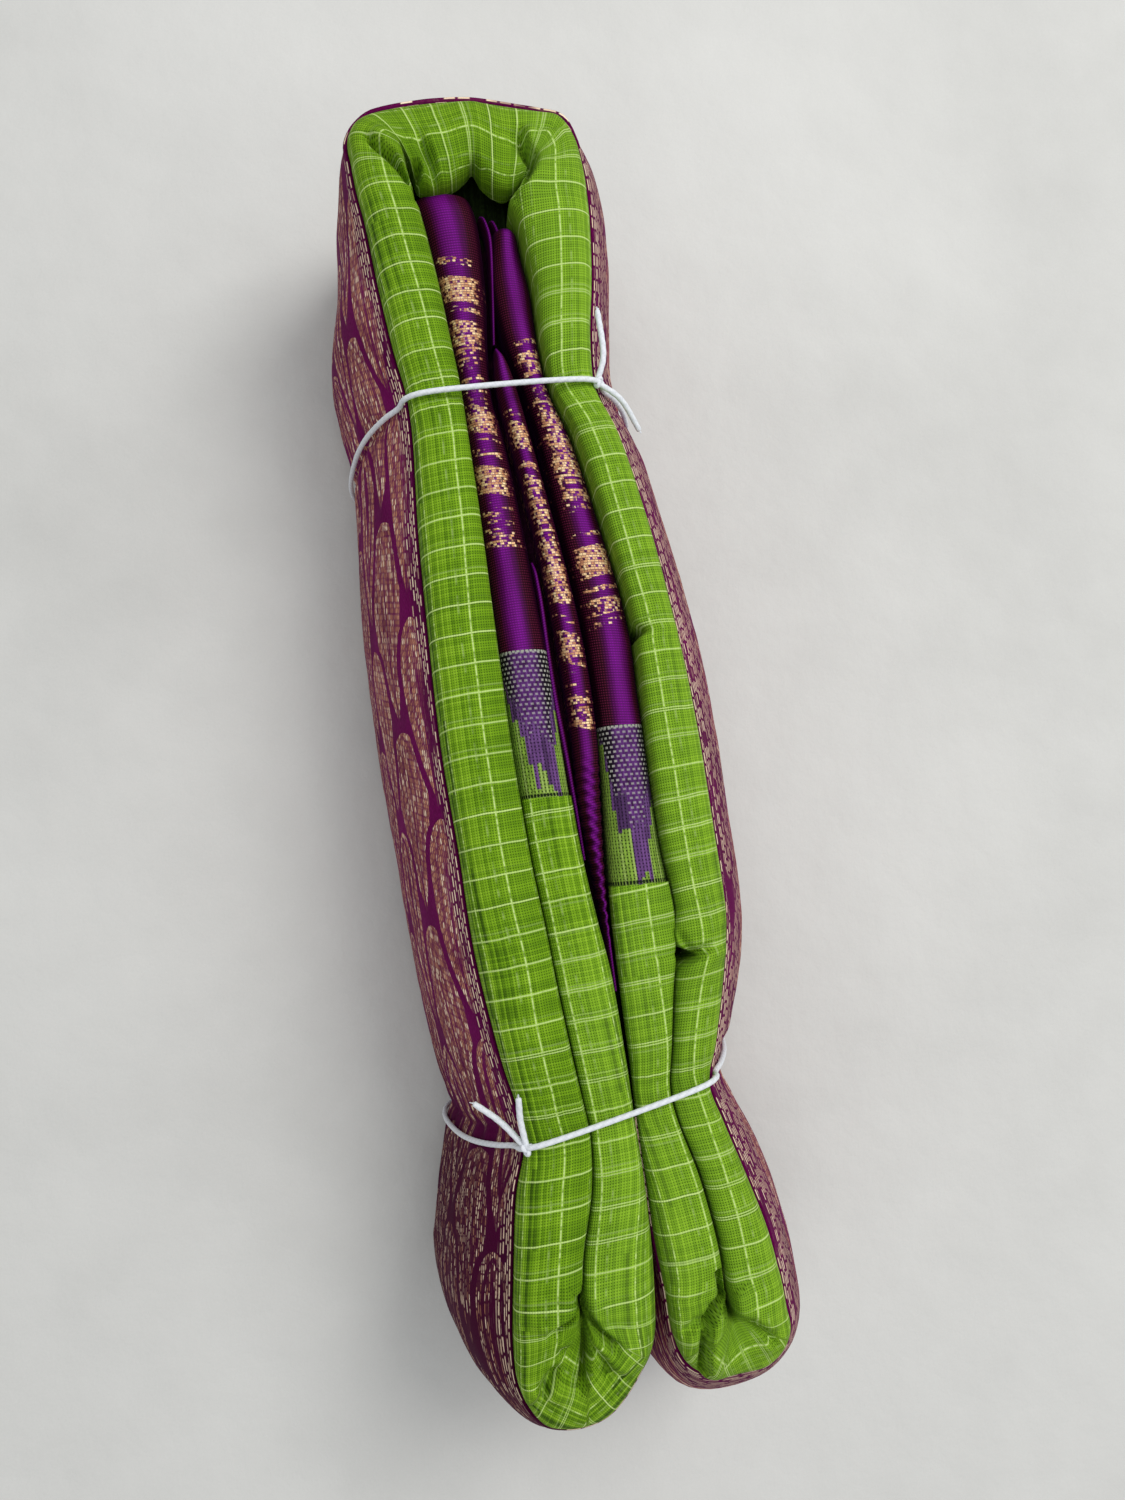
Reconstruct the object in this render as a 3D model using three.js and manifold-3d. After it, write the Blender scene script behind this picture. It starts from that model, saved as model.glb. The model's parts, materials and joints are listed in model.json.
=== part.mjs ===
// A folded saree, tied into a bundle with two strings and standing on its long folded edges.
//
// The saree is folded lengthwise to a strip about 96 mm high, and the strip is laid in a W, so
// that four arms lie side by side: outer left, inner left, inner right, outer right. It turns
// back at the top end (+Y) and at two lobes (-Y). The checked body rolls over the top edges, the
// brocade border is the outer wall, the end piece (pallu) shows between the inner arms.
// Units are millimetres, +Z is up, the bundle's length lies along Y.
import * as THREE from 'three';
import { mergeVertices } from 'three/addons/utils/BufferGeometryUtils.js';
import Module from 'manifold-3d';

const wasm = await Module();
wasm.setup();

// ---- driving sizes
const CLOTH = 2.0;          // wall of a stretch that shows
const SEAM = 0.3;           // between two stretches
const CORE_GAP = 0.8;       // between a stretch and the hidden layers
const EDGE_Z = 88;          // where the rolls meet the outer wall
const WALL_TOP = 86.5;      // upper edge of the border wall
const WALL_RISE = 26;       // how quickly the wall swells below its upper edge
const WIDEST_Z = 20;        // height of the widest place
const FOOT_Z = 2.5;         // where the wall has turned under
const FOOT_IN = 9;          // how far it has turned under at the floor
const STRING_D = 1.8;       // tying string
const KNOT_D = 4.2;
const TIE_STEPS = 60;
const CHANNEL = 3.4;
const CENTRE = { x: 13.97, y: 0.6 };   // middle of the bundle, moved onto the origin

// ---- the four arms. A row for each station along Y: the x of each crease between the arms,
// the swell of the left and the right wall, and the crest of outer and inner rolls.
const ARM_COLUMNS = ['y', 'outL', 'inL', 'midL', 'midR', 'inR', 'outR', 'swL', 'swR', 'hi', 'lo'];
const ARMS = [
  [158, -33.6, -17.5, -0.6, 5.2, 13.6, 33.0, 8.5, 13.5, 98.0, 84.0],
  [148, -31.9, -15.2, 1.0, 4.6, 11.6, 33.1, 11.5, 13.4, 98.0, 88.5],
  [130, -29.7, -12.3, 1.4, 3.0, 14.0, 32.0, 17.0, 13.0, 98.0, 91.5],
  [112, -27.0, -10.0, 0.4, 5.4, 14.9, 29.9, 17.3, 14.0, 97.5, 92.5],
  [98, -24.2, -8.3, 0.6, 9.4, 17.2, 30.2, 17.6, 17.6, 95.5, 92.0],
  [85, -23.5, -7.6, 3.0, 12.0, 21.8, 35.0, 18.3, 17.8, 97.5, 92.5],
  [60, -24.0, -6.1, 5.9, 15.5, 27.6, 41.0, 18.6, 17.3, 98.0, 93.0],
  [30, -23.6, -4.6, 8.7, 19.7, 33.0, 46.0, 18.5, 18.3, 98.0, 94.0],
  [0, -22.6, -3.1, 10.6, 21.2, 33.9, 49.6, 17.6, 18.0, 98.0, 94.5],
  [-30, -20.1, -0.8, 13.0, 20.8, 35.2, 51.4, 17.4, 17.5, 98.0, 95.0],
  [-52, -18.6, 1.9, 16.1, 20.6, 37.4, 52.2, 17.0, 17.3, 98.0, 95.5],
  [-66, -16.8, 3.4, 18.3, 20.9, 35.6, 50.4, 17.2, 17.6, 98.0, 96.0],
  [-86, -13.2, 6.0, 19.9, 21.8, 33.0, 46.0, 17.6, 15.8, 97.4, 95.6],
  [-97, -10.5, 7.7, 20.8, 22.2, 31.6, 43.2, 18.2, 13.0, 95.8, 94.5],
  [-107, -9.0, 9.0, 21.3, 22.5, 33.3, 45.9, 17.4, 13.8, 95.3, 94.2],
  [-120, -12.3, 8.0, 22.0, 23.2, 37.0, 50.0, 17.0, 16.0, 97.5, 96.5],
  [-136, -14.4, 4.2, 22.3, 24.1, 39.9, 54.8, 18.4, 16.3, 98.0, 97.5],
  [-150, -15.9, 2.2, 21.8, 25.7, 41.0, 57.3, 19.0, 16.2, 98.0, 98.0],
];

// ---- the three turns. A row for each fold line across the roll: its outer end, its inner end,
// the wall's swell there and the crest.
const TURN_COLUMNS = ['ox', 'oy', 'ix', 'iy', 'sw', 'hi'];
const TOP_TURN = [
  [-34.6, 167, -18.4, 161.6, 7.0, 98.0],
  [-35.0, 173, -17.9, 162.6, 5.0, 98.0],
  [-32.0, 178, -17.0, 162.4, 6.0, 98.0],
  [-25.0, 181.2, -14.6, 160.2, 9.0, 97.5],
  [-12.7, 183.5, -8.6, 157.8, 12.0, 97.0],
  [0.0, 184.2, -0.6, 160.0, 13.0, 97.0],
  [11.0, 182.6, 6.6, 157.4, 13.0, 97.0],
  [20.0, 181.0, 12.4, 158.8, 13.5, 97.5],
  [26.6, 179.2, 15.4, 161.6, 14.5, 98.0],
  [30.6, 173, 16.0, 162.0, 15.5, 98.0],
  [32.3, 165.5, 15.2, 160.4, 14.5, 98.0],
];
const LEFT_TURN = [
  [-16.4, -158, 1.7, -151.6, 19.0, 98.0],
  [-16.0, -167, 1.7, -151.8, 18.0, 98.0],
  [-13.6, -173.6, 1.8, -151.9, 17.0, 98.0],
  [-9.6, -178.6, 1.9, -152.0, 16.0, 97.5],
  [-4.4, -180.4, 2.0, -152.1, 15.5, 97.0],
  [1.6, -180.5, 2.2, -152.1, 15.5, 97.0],
  [7.4, -178.7, 2.3, -152.0, 15.0, 97.0],
  [12.2, -174.7, 2.5, -151.9, 13.5, 97.5],
  [16.4, -169.4, 2.6, -151.8, 10.0, 98.0],
  [19.6, -164.4, 2.6, -151.6, 5.5, 98.0],
  [21.1, -158, 2.6, -151.4, 2.6, 98.0],
];
const RIGHT_TURN = [
  [57.9, -157, 41.6, -155.2, 16.5, 98.0],
  [58.4, -163, 41.6, -155.4, 17.5, 98.0],
  [55.9, -168.3, 41.5, -155.6, 19.5, 97.5],
  [50.6, -172.2, 41.4, -155.8, 21.0, 97.0],
  [43.4, -173.0, 41.2, -155.9, 22.0, 97.0],
  [36.6, -173.0, 41.0, -155.8, 20.0, 97.0],
  [31.6, -171.2, 40.8, -155.7, 13.0, 97.5],
  [28.2, -167.6, 40.7, -155.5, 6.0, 98.0],
  [26.5, -161.5, 40.6, -155.2, 2.6, 98.0],
];

// ---- where one stretch ends and the next begins, along Y
const CUT = {
  lobe: -107, leftBand: [-16.5, 24], rightBand: [-42, 1.5],
  leftPallu: 156, rightPallu: 150, ridge: [-60, 112], turn: 159, slit: -112,
};
const TIES = [
  { name: 'tie_upper', y: 95.8, tilt: 0.05, knotX: 29.5, tails: [[31.6, 105, 95.5], [31.0, 118, 96.5], null, [36.3, 94.5, 91], [42.2, 85.0, 84]] },
  { name: 'tie_lower', y: -107.4, tilt: 0.23, knotX: -8.4, tails: [[-14.6, -100.5, 91], [-21.0, -95.5, 89], null, [-9.6, -99.4, 96], [-9.8, -93.6, 98.5]] },
];

// ---- tables as objects, and a smooth curve through the rows
const rowsOf = (table, names) => table.map((r) => Object.fromEntries(names.map((n, i) => [n, r[i]])));
const arms = rowsOf(ARMS, ARM_COLUMNS);
function armAt(y) {
  let k = arms.findIndex((r) => r.y <= y);
  k = k < 1 ? (k === 0 ? 1 : arms.length - 1) : k;
  const r0 = arms[Math.max(k - 2, 0)], r1 = arms[k - 1], r2 = arms[k], r3 = arms[Math.min(k + 1, arms.length - 1)];
  const t = (y - r1.y) / (r2.y - r1.y), d = r2.y - r1.y, out = { y };
  for (const n of ARM_COLUMNS.slice(1)) {
    const m1 = r2.y === r0.y ? 0 : ((r2[n] - r0[n]) / (r2.y - r0.y)) * d;
    const m2 = r3.y === r1.y ? 0 : ((r3[n] - r1[n]) / (r3.y - r1.y)) * d;
    out[n] = (2 * t ** 3 - 3 * t ** 2 + 1) * r1[n] + (t ** 3 - 2 * t ** 2 + t) * m1
      + (-2 * t ** 3 + 3 * t ** 2) * r2[n] + (t ** 3 - t ** 2) * m2;
  }
  return out;
}
function spread(y0, y1, step) {            // stations from y0 to y1, closer at the two strings
  const n = Math.max(1, Math.round(Math.abs(y1 - y0) / step)), ys = [];
  for (let i = 0; i <= n; i++) ys.push(y0 + ((y1 - y0) * i) / n);
  return ys;
}

// ---- a fold line: outer end, inner end, wall swell, crest, and the level of the roll's edges
const line = (ox, oy, ix, iy, sw, hi, edge = EDGE_Z) => {
  const l = Math.hypot(ox - ix, oy - iy);
  return { ox, oy, ix, iy, sw, hi, edge, ex: (ox - ix) / l, ey: (oy - iy) / l };
};
const S = SEAM / 2;
const outerLeft = (y) => { const a = armAt(y); return line(a.outL, y, a.inL - S, y, a.swL, a.hi); };
const outerRight = (y) => { const a = armAt(y); return line(a.outR, y, a.inR + S, y, a.swR, a.hi); };
const innerLeft = (y) => { const a = armAt(y); return line(a.midL - S, y, a.inL + S, y, 0, a.lo, a.lo - 7); };
const innerRight = (y) => { const a = armAt(y); return line(a.midR + S, y, a.inR - S, y, 0, a.lo, a.lo - 7); };
const slitLeft = (y) => { const a = armAt(y); return line(a.midL, y, a.inL + S, y, Math.max(0.2, (a.midR - a.midL) / 2 - 0.4), a.lo); };
const slitRight = (y) => { const a = armAt(y); return line(a.midR, y, a.inR - S, y, Math.max(0.2, (a.midR - a.midL) / 2 - 0.4), a.lo); };
const turnLines = (table) => rowsOf(table, TURN_COLUMNS).map((r) => line(r.ox, r.oy, r.ix, r.iy, r.sw, r.hi));

// ---- profiles in the plane of a fold line
function swell(sw, z) {                    // how far the wall stands out at height z
  const top = 1 - Math.exp(-(EDGE_Z - WIDEST_Z) / WALL_RISE);
  return (sw * (1 - Math.exp(-(EDGE_Z - z) / WALL_RISE))) / top;
}
const at = (f, out, z) => new THREE.Vector3(f.ox + f.ex * out, f.oy + f.ey * out, z);
const LEVELS = [WALL_TOP, 80, 68, 50, WIDEST_Z, 8, 0];
function wallSide(f, inset) {              // from the upper edge down and under the foot
  const foot = Math.min(FOOT_IN, 0.55 * f.sw);
  const rows = LEVELS.slice(0, 5).map((z) => at(f, swell(f.sw, z) - inset, z));
  rows.push(at(f, f.sw - foot * 0.3 - inset, 8 + inset * 0.3));
  rows.push(at(f, f.sw - foot - inset * 0.6, inset));
  return rows;
}
const ARCH = 6;                            // points over a roll
function arch(f, inset, n = ARCH) {        // over the roll from its outer edge to its inner edge
  const w = Math.hypot(f.ox - f.ix, f.oy - f.iy), half = w / 2;
  const r = Math.max(half - inset, 0.25), h = Math.max(f.hi - f.edge - inset, 0.25), pts = [];
  for (let i = 0; i < n; i++) {
    const a = (Math.PI * i) / (n - 1), c = Math.cos(a), s = Math.sin(a);
    pts.push(at(f, -half + r * Math.sign(c) * Math.abs(c) ** 0.8, f.edge + h * s ** 0.8));
  }
  return pts;
}

// ---- solids
function sweep(rings) {                    // closed skin through rings of equal length
  const n = rings[0].length, pos = [], idx = [];
  for (const ring of rings) for (const p of ring) pos.push(p.x, p.y, p.z);
  for (let j = 0; j + 1 < rings.length; j++) {
    for (let i = 0; i < n; i++) {
      const a = j * n + i, b = j * n + ((i + 1) % n), c = a + n, d = b + n;
      idx.push(a, b, d, a, d, c);
    }
  }
  const half = n / 2, last = (rings.length - 1) * n;
  for (let i = 0; i + 1 < half; i++) {     // a ring runs out along one face and back along the other
    const a = i, b = i + 1, c = n - 1 - i, d = n - 2 - i;
    idx.push(a, c, b, b, c, d);
    idx.push(last + a, last + b, last + c, last + b, last + d, last + c);
  }
  return solidOf(pos, idx);
}
function solidOf(pos, idx) {
  const make = (tri) => new wasm.Manifold(new wasm.Mesh({ numProp: 3, vertProperties: new Float32Array(pos), triVerts: new Uint32Array(tri) }));
  let m = make(idx);
  if (m.volume() < 0) {
    const flip = [];
    for (let i = 0; i < idx.length; i += 3) flip.push(idx[i], idx[i + 2], idx[i + 1]);
    m = make(flip);
  }
  return m;
}
const shellRing = (outer, inner) => [...outer, ...inner.slice().reverse()];
const rollStretch = (lines, thick = CLOTH) => sweep(lines.map((f) => shellRing(arch(f, 0), arch(f, thick))));
const wallStretch = (lines) => sweep(lines.map((f) => shellRing(wallSide(f, 0), wallSide(f, CLOTH))));
function filled(lines, bottom) {           // a ridge with no hollow, down to its edge
  return wasm.Manifold.union(lines.slice(1).map((f, i) => hull([...ridgeSection(lines[i], bottom), ...ridgeSection(f, bottom)])));
}
const ridgeSection = (f, bottom) => [...arch(f, 0), at(f, 0, f.edge - bottom), at(f, -Math.hypot(f.ox - f.ix, f.oy - f.iy), f.edge - bottom)];
function hull(points) { return wasm.Manifold.hull(points.map((p) => [p.x, p.y, p.z])); }

// the hidden layers: each arm's inside from one fold line to the next, joined
const INSET = CLOTH + CORE_GAP;
const across = (f) => Math.hypot(f.ox - f.ix, f.oy - f.iy);
const coreRoll = (f, wall) => {
  const inset = INSET + (wall ? 0 : 0.6);
  return [...arch(f, inset, 5), at(f, -inset, f.edge - 6), at(f, -across(f) + inset, f.edge - 6)];
};
function coreBelow(f, wall) {
  const foot = f.sw - Math.min(FOOT_IN, 0.55 * f.sw) - INSET - 0.8;
  const side = wall ? [...wallSide(f, INSET).slice(0, 6), at(f, foot, 0)] : [at(f, -S, 0), at(f, -S, f.edge - 1)];
  const top = wall ? WALL_TOP : f.edge - 1;
  return [...side, at(f, -across(f) + 1.2, top), at(f, -across(f) - S, top - 9), at(f, -across(f) - S, 0)];
}
const coreStretch = (lines, wall) => lines.slice(1).flatMap((f, i) => [
  hull([...coreRoll(lines[i], wall), ...coreRoll(f, wall)]), hull([...coreBelow(lines[i], wall), ...coreBelow(f, wall)])]);

// a string laid over a section: points of the outer surface in the plane of the tie, moved out
function tiePath(y, tilt) {
  const off = STRING_D / 2 + 0.6;
  const side = (at0) => LEVELS.map((_, i) => {
    let f = at0(y), p = wallSide(f, 0)[i];
    for (let k = 0; k < 4; k++) { f = at0(y + (p.x - outerLeft(y).ox) * tilt); p = wallSide(f, 0)[i]; }
    return level(f, p, i);
  });
  const level = (f, p, i) => (i === 6 ? [p.x + f.ex, STRING_D / 2 + 0.5]
    : i === 5 ? [p.x + f.ex * (off + 0.7), p.z - 0.8]
      : [p.x + f.ex * off * (i < 2 ? 0.75 : 1), p.z + off * (i < 2 ? 0.65 : 0)]);
  const shoulder = (f) => [[f.ox + f.ex * 0.7, EDGE_Z + 5], [f.ox - f.ex * 2.2, f.hi + off - 1.2], [f.ox - f.ex * 8, f.hi + off + 0.4]];
  const L = outerLeft(y), R = outerRight(y + (armAt(y).outR - L.ox) * tilt);
  const over = [...side(outerLeft).reverse(), ...shoulder(L), ...shoulder(R).reverse(), ...side(outerRight)];
  const from = over[over.length - 1], to = over[0], under = 8;
  for (let i = 1; i < under; i++) over.push([from[0] + ((to[0] - from[0]) * i) / under, from[1]]);
  return over.map(([x, z]) => new THREE.Vector3(x, y + (x - L.ox) * tilt, z));   // the tie lies in one leaning plane
}
function tube(points, closed, steps, d) {
  const curve = new THREE.CatmullRomCurve3(points, closed, 'centripetal');
  const shape = new THREE.Shape();
  for (let i = 0; i < 8; i++) {
    const a = (Math.PI * 2 * i) / 8, x = (d / 2) * Math.cos(a), y = (d / 2) * Math.sin(a);
    if (i === 0) shape.moveTo(x, y); else shape.lineTo(x, y);
  }
  shape.closePath();
  const g = new THREE.ExtrudeGeometry(shape, { steps, extrudePath: curve, bevelEnabled: false });
  return fromGeometry(g);
}
function fromGeometry(g) {
  g.deleteAttribute('normal'); g.deleteAttribute('uv');
  const m = mergeVertices(g, 1e-3);
  return solidOf(Array.from(m.attributes.position.array), Array.from(m.index.array));
}

// ---- the pieces
const ysLong = spread(CUT.turn, CUT.lobe + SEAM, 13);
const leftArm = ysLong.map(outerLeft), rightArm = ysLong.map(outerRight);
const ysLobe = [CUT.lobe, -114, -124, -136, -149];
const lobeOf = (outer, slit, table) => {
  const turn = turnLines(table);
  return [...ysLobe.map(outer), ...turn, ...ysLobe.slice().reverse().map(slit)];
};
const leftLobe = lobeOf(outerLeft, slitLeft, LEFT_TURN);
const rightLobe = lobeOf(outerRight, slitRight, RIGHT_TURN);
const bend = [line(...endOf(outerLeft(CUT.turn + SEAM))), ...turnLines(TOP_TURN), line(...endOf(outerRight(CUT.turn + SEAM)))];
function endOf(f) { return [f.ox, f.oy, f.ix, f.iy, f.sw, f.hi]; }
const stretchY = (fn, y0, y1) => spread(y0, y1, 12).map(fn);

const solids = {};
solids.roll_outer_left = rollStretch(leftArm);
solids.roll_outer_right = rollStretch(rightArm);
solids.roll_top_bend = rollStretch(bend);
solids.roll_lobe_left = rollStretch(leftLobe);
solids.roll_lobe_right = rollStretch(rightLobe);
solids.pallu_left = rollStretch(stretchY(innerLeft, CUT.leftPallu, CUT.leftBand[1] + SEAM));
solids.joint_band_left = rollStretch(stretchY(innerLeft, CUT.leftBand[1], CUT.leftBand[0] + SEAM));
solids.roll_inner_left = rollStretch(stretchY(innerLeft, CUT.leftBand[0], CUT.lobe + SEAM));
solids.pallu_right = rollStretch(stretchY(innerRight, CUT.rightPallu, CUT.rightBand[1] + SEAM));
solids.joint_band_right = rollStretch(stretchY(innerRight, CUT.rightBand[1], CUT.rightBand[0] + SEAM));
solids.roll_inner_right = rollStretch(stretchY(innerRight, CUT.rightBand[0], CUT.lobe + SEAM));
const ridge = (y) => {
  const a = armAt(y), taper = Math.min(1, (y - CUT.ridge[0]) / 60 + 0.35, (CUT.ridge[1] - y) / 12 + 0.45);
  const mid = (a.midL + a.midR) / 2, half = Math.max(((a.midR - a.midL) / 2 - SEAM) * taper, 0.6);
  return line(mid + half, y, mid - half, y, 0, 91.5 + taper, 86);
};
solids.pallu_centre = filled(spread(CUT.ridge[1], CUT.ridge[0], 14).map(ridge), 6);

const cutAt = (lines, i, j) => lines.slice(i, j + 1);
solids.border_left = wallStretch([...leftArm, ...leftLobe.slice(1, 5)].filter((f) => f.oy > -137));
solids.border_right = wallStretch([...rightArm, ...rightLobe.slice(1, 5)].filter((f) => f.oy > -137));
solids.border_top_end = wallStretch(bend);
const gapAlong = (a, b, d) => {            // a fold line d millimetres from a towards b
  const l = Math.hypot(b.ox - a.ox, b.oy - a.oy), k = d / l, mix = (n) => a[n] + (b[n] - a[n]) * k;
  return line(mix('ox'), mix('oy'), mix('ix'), mix('iy'), mix('sw'), mix('hi'));
};
const endWall = (lobe, from, to) => wallStretch([gapAlong(lobe[from], lobe[from + 1], SEAM), ...cutAt(lobe, from + 1, to)]);
const slitStart = (lobe) => lobe.length - ysLobe.length;
const at3 = 3;                             // the lobe's row at y = -136
solids.border_lobe_left = endWall(leftLobe, at3, slitStart(leftLobe) - 1);
solids.border_lobe_right = endWall(rightLobe, at3, slitStart(rightLobe) - 1);
solids.border_slit_left = endWall(leftLobe, slitStart(leftLobe) - 1, leftLobe.length - 2);
solids.border_slit_right = endWall(rightLobe, slitStart(rightLobe) - 1, rightLobe.length - 2);

const ysCore = ysLong;
const coreParts = [
  ...coreStretch(leftArm, true), ...coreStretch(rightArm, true), ...coreStretch(bend, true),
  ...coreStretch(leftLobe, true), ...coreStretch(rightLobe, true),
  ...coreStretch(stretchY(innerLeft, CUT.leftPallu - 1, CUT.lobe), false),
  ...coreStretch(stretchY(innerRight, CUT.rightPallu - 1, CUT.lobe), false),
  ...coreStretch(spread(CUT.turn, CUT.lobe, 12).map((y) => { const a = armAt(y); return line(a.midR + 1, y, a.midL - 1, y, 0, 78, 74); }), false),
];
// the arms press together along their creases
for (const crease of ['inL', 'inR']) {
  spread(CUT.turn, -152, 16).slice(1).forEach((y, i, all) => {
    const ends = [i ? all[i - 1] : CUT.turn, y].map((v) => [armAt(v)[crease], v]);
    coreParts.push(hull(ends.flatMap(([x, v]) => [-1.5, 1.5].flatMap((s) => [0, 75].map((z) => new THREE.Vector3(x + s, v, z))))));
  });
}
// the space under the top bend, between the arms' ends
const pocket = bend.map((f) => at(f, -Math.hypot(f.ox - f.ix, f.oy - f.iy) + 0.5, 0));
const pocketPts = [...pocket, ...[outerLeft(150), outerRight(150)].map((f) => new THREE.Vector3(f.ix, f.iy, 0))];
coreParts.push(hull([...pocketPts, ...pocketPts.map((p) => new THREE.Vector3(p.x, p.y, 76))]));
let core = wasm.Manifold.union(coreParts);

// layered edges: the strip's arms part as shallow furrows along the underside
const furrow = (fn, y0, y1) => spread(y0, y1, 40).slice(1).map((y, i, all) => {
  const p = [i ? all[i - 1] : y0, y].map((v) => [fn(armAt(v)), v]);
  return hull(p.flatMap(([x, v]) => [-1, 1].flatMap((s) => [new THREE.Vector3(x + s * 1.6, v, -1), new THREE.Vector3(x + s * 0.4, v, 2.4)])));
});
core = core.subtract(wasm.Manifold.union([
  ...furrow((a) => a.inL, 140, -149), ...furrow((a) => a.inR, 140, -149), ...furrow((a) => (a.midL + a.midR) / 2, 140, -190),
]));

// ---- the two ties, each a loop with its knot and tails in one solid, let into the cloth
for (const t of TIES) {
  const path = tiePath(t.y, t.tilt);
  const close = path.map((p) => p.clone());
  const near = close.filter((p) => p.z > EDGE_Z).reduce((a, b) => (Math.abs(b.x - t.knotX) < Math.abs(a.x - t.knotX) ? b : a));
  const knotAt = new THREE.Vector3(t.knotX, near.y, near.z + 0.7);
  const ball = (more) => fromGeometry(new THREE.SphereGeometry((KNOT_D + more) / 2, 10, 6)).translate([knotAt.x, knotAt.y, knotAt.z + 0.4]);
  const made = (d) => {                      // the tie, or the room that it takes when d is larger
    const parts = [tube(close, true, TIE_STEPS, d), ball(d - STRING_D)];
    let tail = [knotAt];
    for (const p of [...t.tails, null]) {
      if (p) tail.push(new THREE.Vector3(...p));
      else { parts.push(tube(tail, false, 5, d)); tail = [knotAt]; }
    }
    return wasm.Manifold.union(parts);
  };
  solids[t.name] = made(STRING_D);
  // a shallow channel under the bundle, which the cloth presses into
  const mid = close[close.length - 4], turn = (Math.atan(t.tilt) * 180) / Math.PI;
  t.slack = made(STRING_D + 0.9);
  t.room = wasm.Manifold.cube([200, CHANNEL, CHANNEL + 1], true).rotate([0, 0, turn]).translate([mid.x, mid.y, CHANNEL / 2 - 0.5]);
}
solids.hidden_layers = core.asOriginal().simplify(0.4);
for (const name of Object.keys(solids).filter((n) => !n.startsWith('tie'))) {
  for (const t of TIES) {
    if (solids[name].intersect(solids[t.name]).volume() < 1e-3) continue;
    solids[name] = solids[name].subtract(t.room);
    if (solids[name].intersect(solids[t.name]).volume() > 1e-3) solids[name] = solids[name].subtract(t.slack);
  }
}

// ---- the scene graph
const COLOURS = {
  body: { color: 0x76a428, roughness: 0.75 }, border: { color: 0x7a4a58, roughness: 0.45 },
  pallu: { color: 0x62127a, roughness: 0.4 }, band: { color: 0x6f8a52, roughness: 0.7 },
  string: { color: 0xe6e8ea, roughness: 0.8 }, inside: { color: 0x5c8a24, roughness: 0.85 },
};
const look = (name) => (name.startsWith('roll') ? 'body' : name.startsWith('border') ? 'border'
  : name.startsWith('pallu') ? 'pallu' : name.startsWith('joint') ? 'band' : name.startsWith('tie') ? 'string' : 'inside');
function outerSkin(solid) {                 // the one outer skin of a solid, with no crumb or closed bubble
  const { vertProperties: pos, triVerts: tri } = solid.getMesh();
  const root = Array.from({ length: pos.length / 3 }, (_, i) => i);
  const find = (i) => { while (root[i] !== i) { root[i] = root[root[i]]; i = root[i]; } return i; };
  for (let i = 0; i < tri.length; i += 3) { root[find(tri[i + 1])] = find(tri[i]); root[find(tri[i + 2])] = find(tri[i]); }
  const count = new Map();
  for (const v of tri) count.set(find(v), (count.get(find(v)) || 0) + 1);
  const main = [...count].sort((a, b) => b[1] - a[1])[0][0];
  const index = [];
  for (let i = 0; i < tri.length; i += 3) if (find(tri[i]) === main) index.push(tri[i], tri[i + 1], tri[i + 2]);
  const g = new THREE.BufferGeometry();
  g.setAttribute('position', new THREE.BufferAttribute(new Float32Array(pos), 3));
  g.setIndex(index);
  return g.toNonIndexed();
}
const saree = new THREE.Group();
saree.name = 'folded_saree';
for (const [name, solid] of Object.entries(solids)) {
  const g = outerSkin(solid);
  g.translate(-CENTRE.x, -CENTRE.y, 0);
  g.computeVertexNormals();
  const m = new THREE.Mesh(g, new THREE.MeshStandardMaterial({ ...COLOURS[look(name)], metalness: 0 }));
  m.name = name;
  saree.add(m);
}

export default saree;
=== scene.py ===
import json
import math

import bpy
import numpy as np
from mathutils import Matrix, Vector

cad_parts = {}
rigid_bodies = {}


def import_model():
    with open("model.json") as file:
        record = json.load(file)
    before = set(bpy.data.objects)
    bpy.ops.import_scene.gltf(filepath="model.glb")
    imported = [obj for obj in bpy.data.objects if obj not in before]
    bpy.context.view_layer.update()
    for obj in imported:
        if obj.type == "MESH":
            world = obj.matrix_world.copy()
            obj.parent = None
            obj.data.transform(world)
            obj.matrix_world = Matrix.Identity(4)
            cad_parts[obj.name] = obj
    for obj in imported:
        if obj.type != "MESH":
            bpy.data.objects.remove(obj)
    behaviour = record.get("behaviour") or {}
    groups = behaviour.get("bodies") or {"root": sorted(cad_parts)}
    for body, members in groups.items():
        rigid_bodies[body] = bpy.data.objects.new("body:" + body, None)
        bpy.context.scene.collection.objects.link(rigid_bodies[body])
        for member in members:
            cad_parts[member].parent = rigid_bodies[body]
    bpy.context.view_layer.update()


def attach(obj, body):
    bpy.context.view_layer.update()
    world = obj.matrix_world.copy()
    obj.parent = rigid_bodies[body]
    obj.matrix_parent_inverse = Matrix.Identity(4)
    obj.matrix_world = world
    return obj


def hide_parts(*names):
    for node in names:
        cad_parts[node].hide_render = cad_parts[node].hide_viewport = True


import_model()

# A folded saree, tied with two strings. The tables below repeat those of the CAD, in millimetres,
# and everything is moved by -CENTRE at the end, as there.
CENTRE = np.array([13.97, 0.6, 0.0])
EDGE_Z, WALL_TOP, WALL_RISE, WIDEST_Z, FOOT_IN = 88.0, 86.5, 26.0, 20.0, 9.0
STRING_D = 1.8

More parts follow.
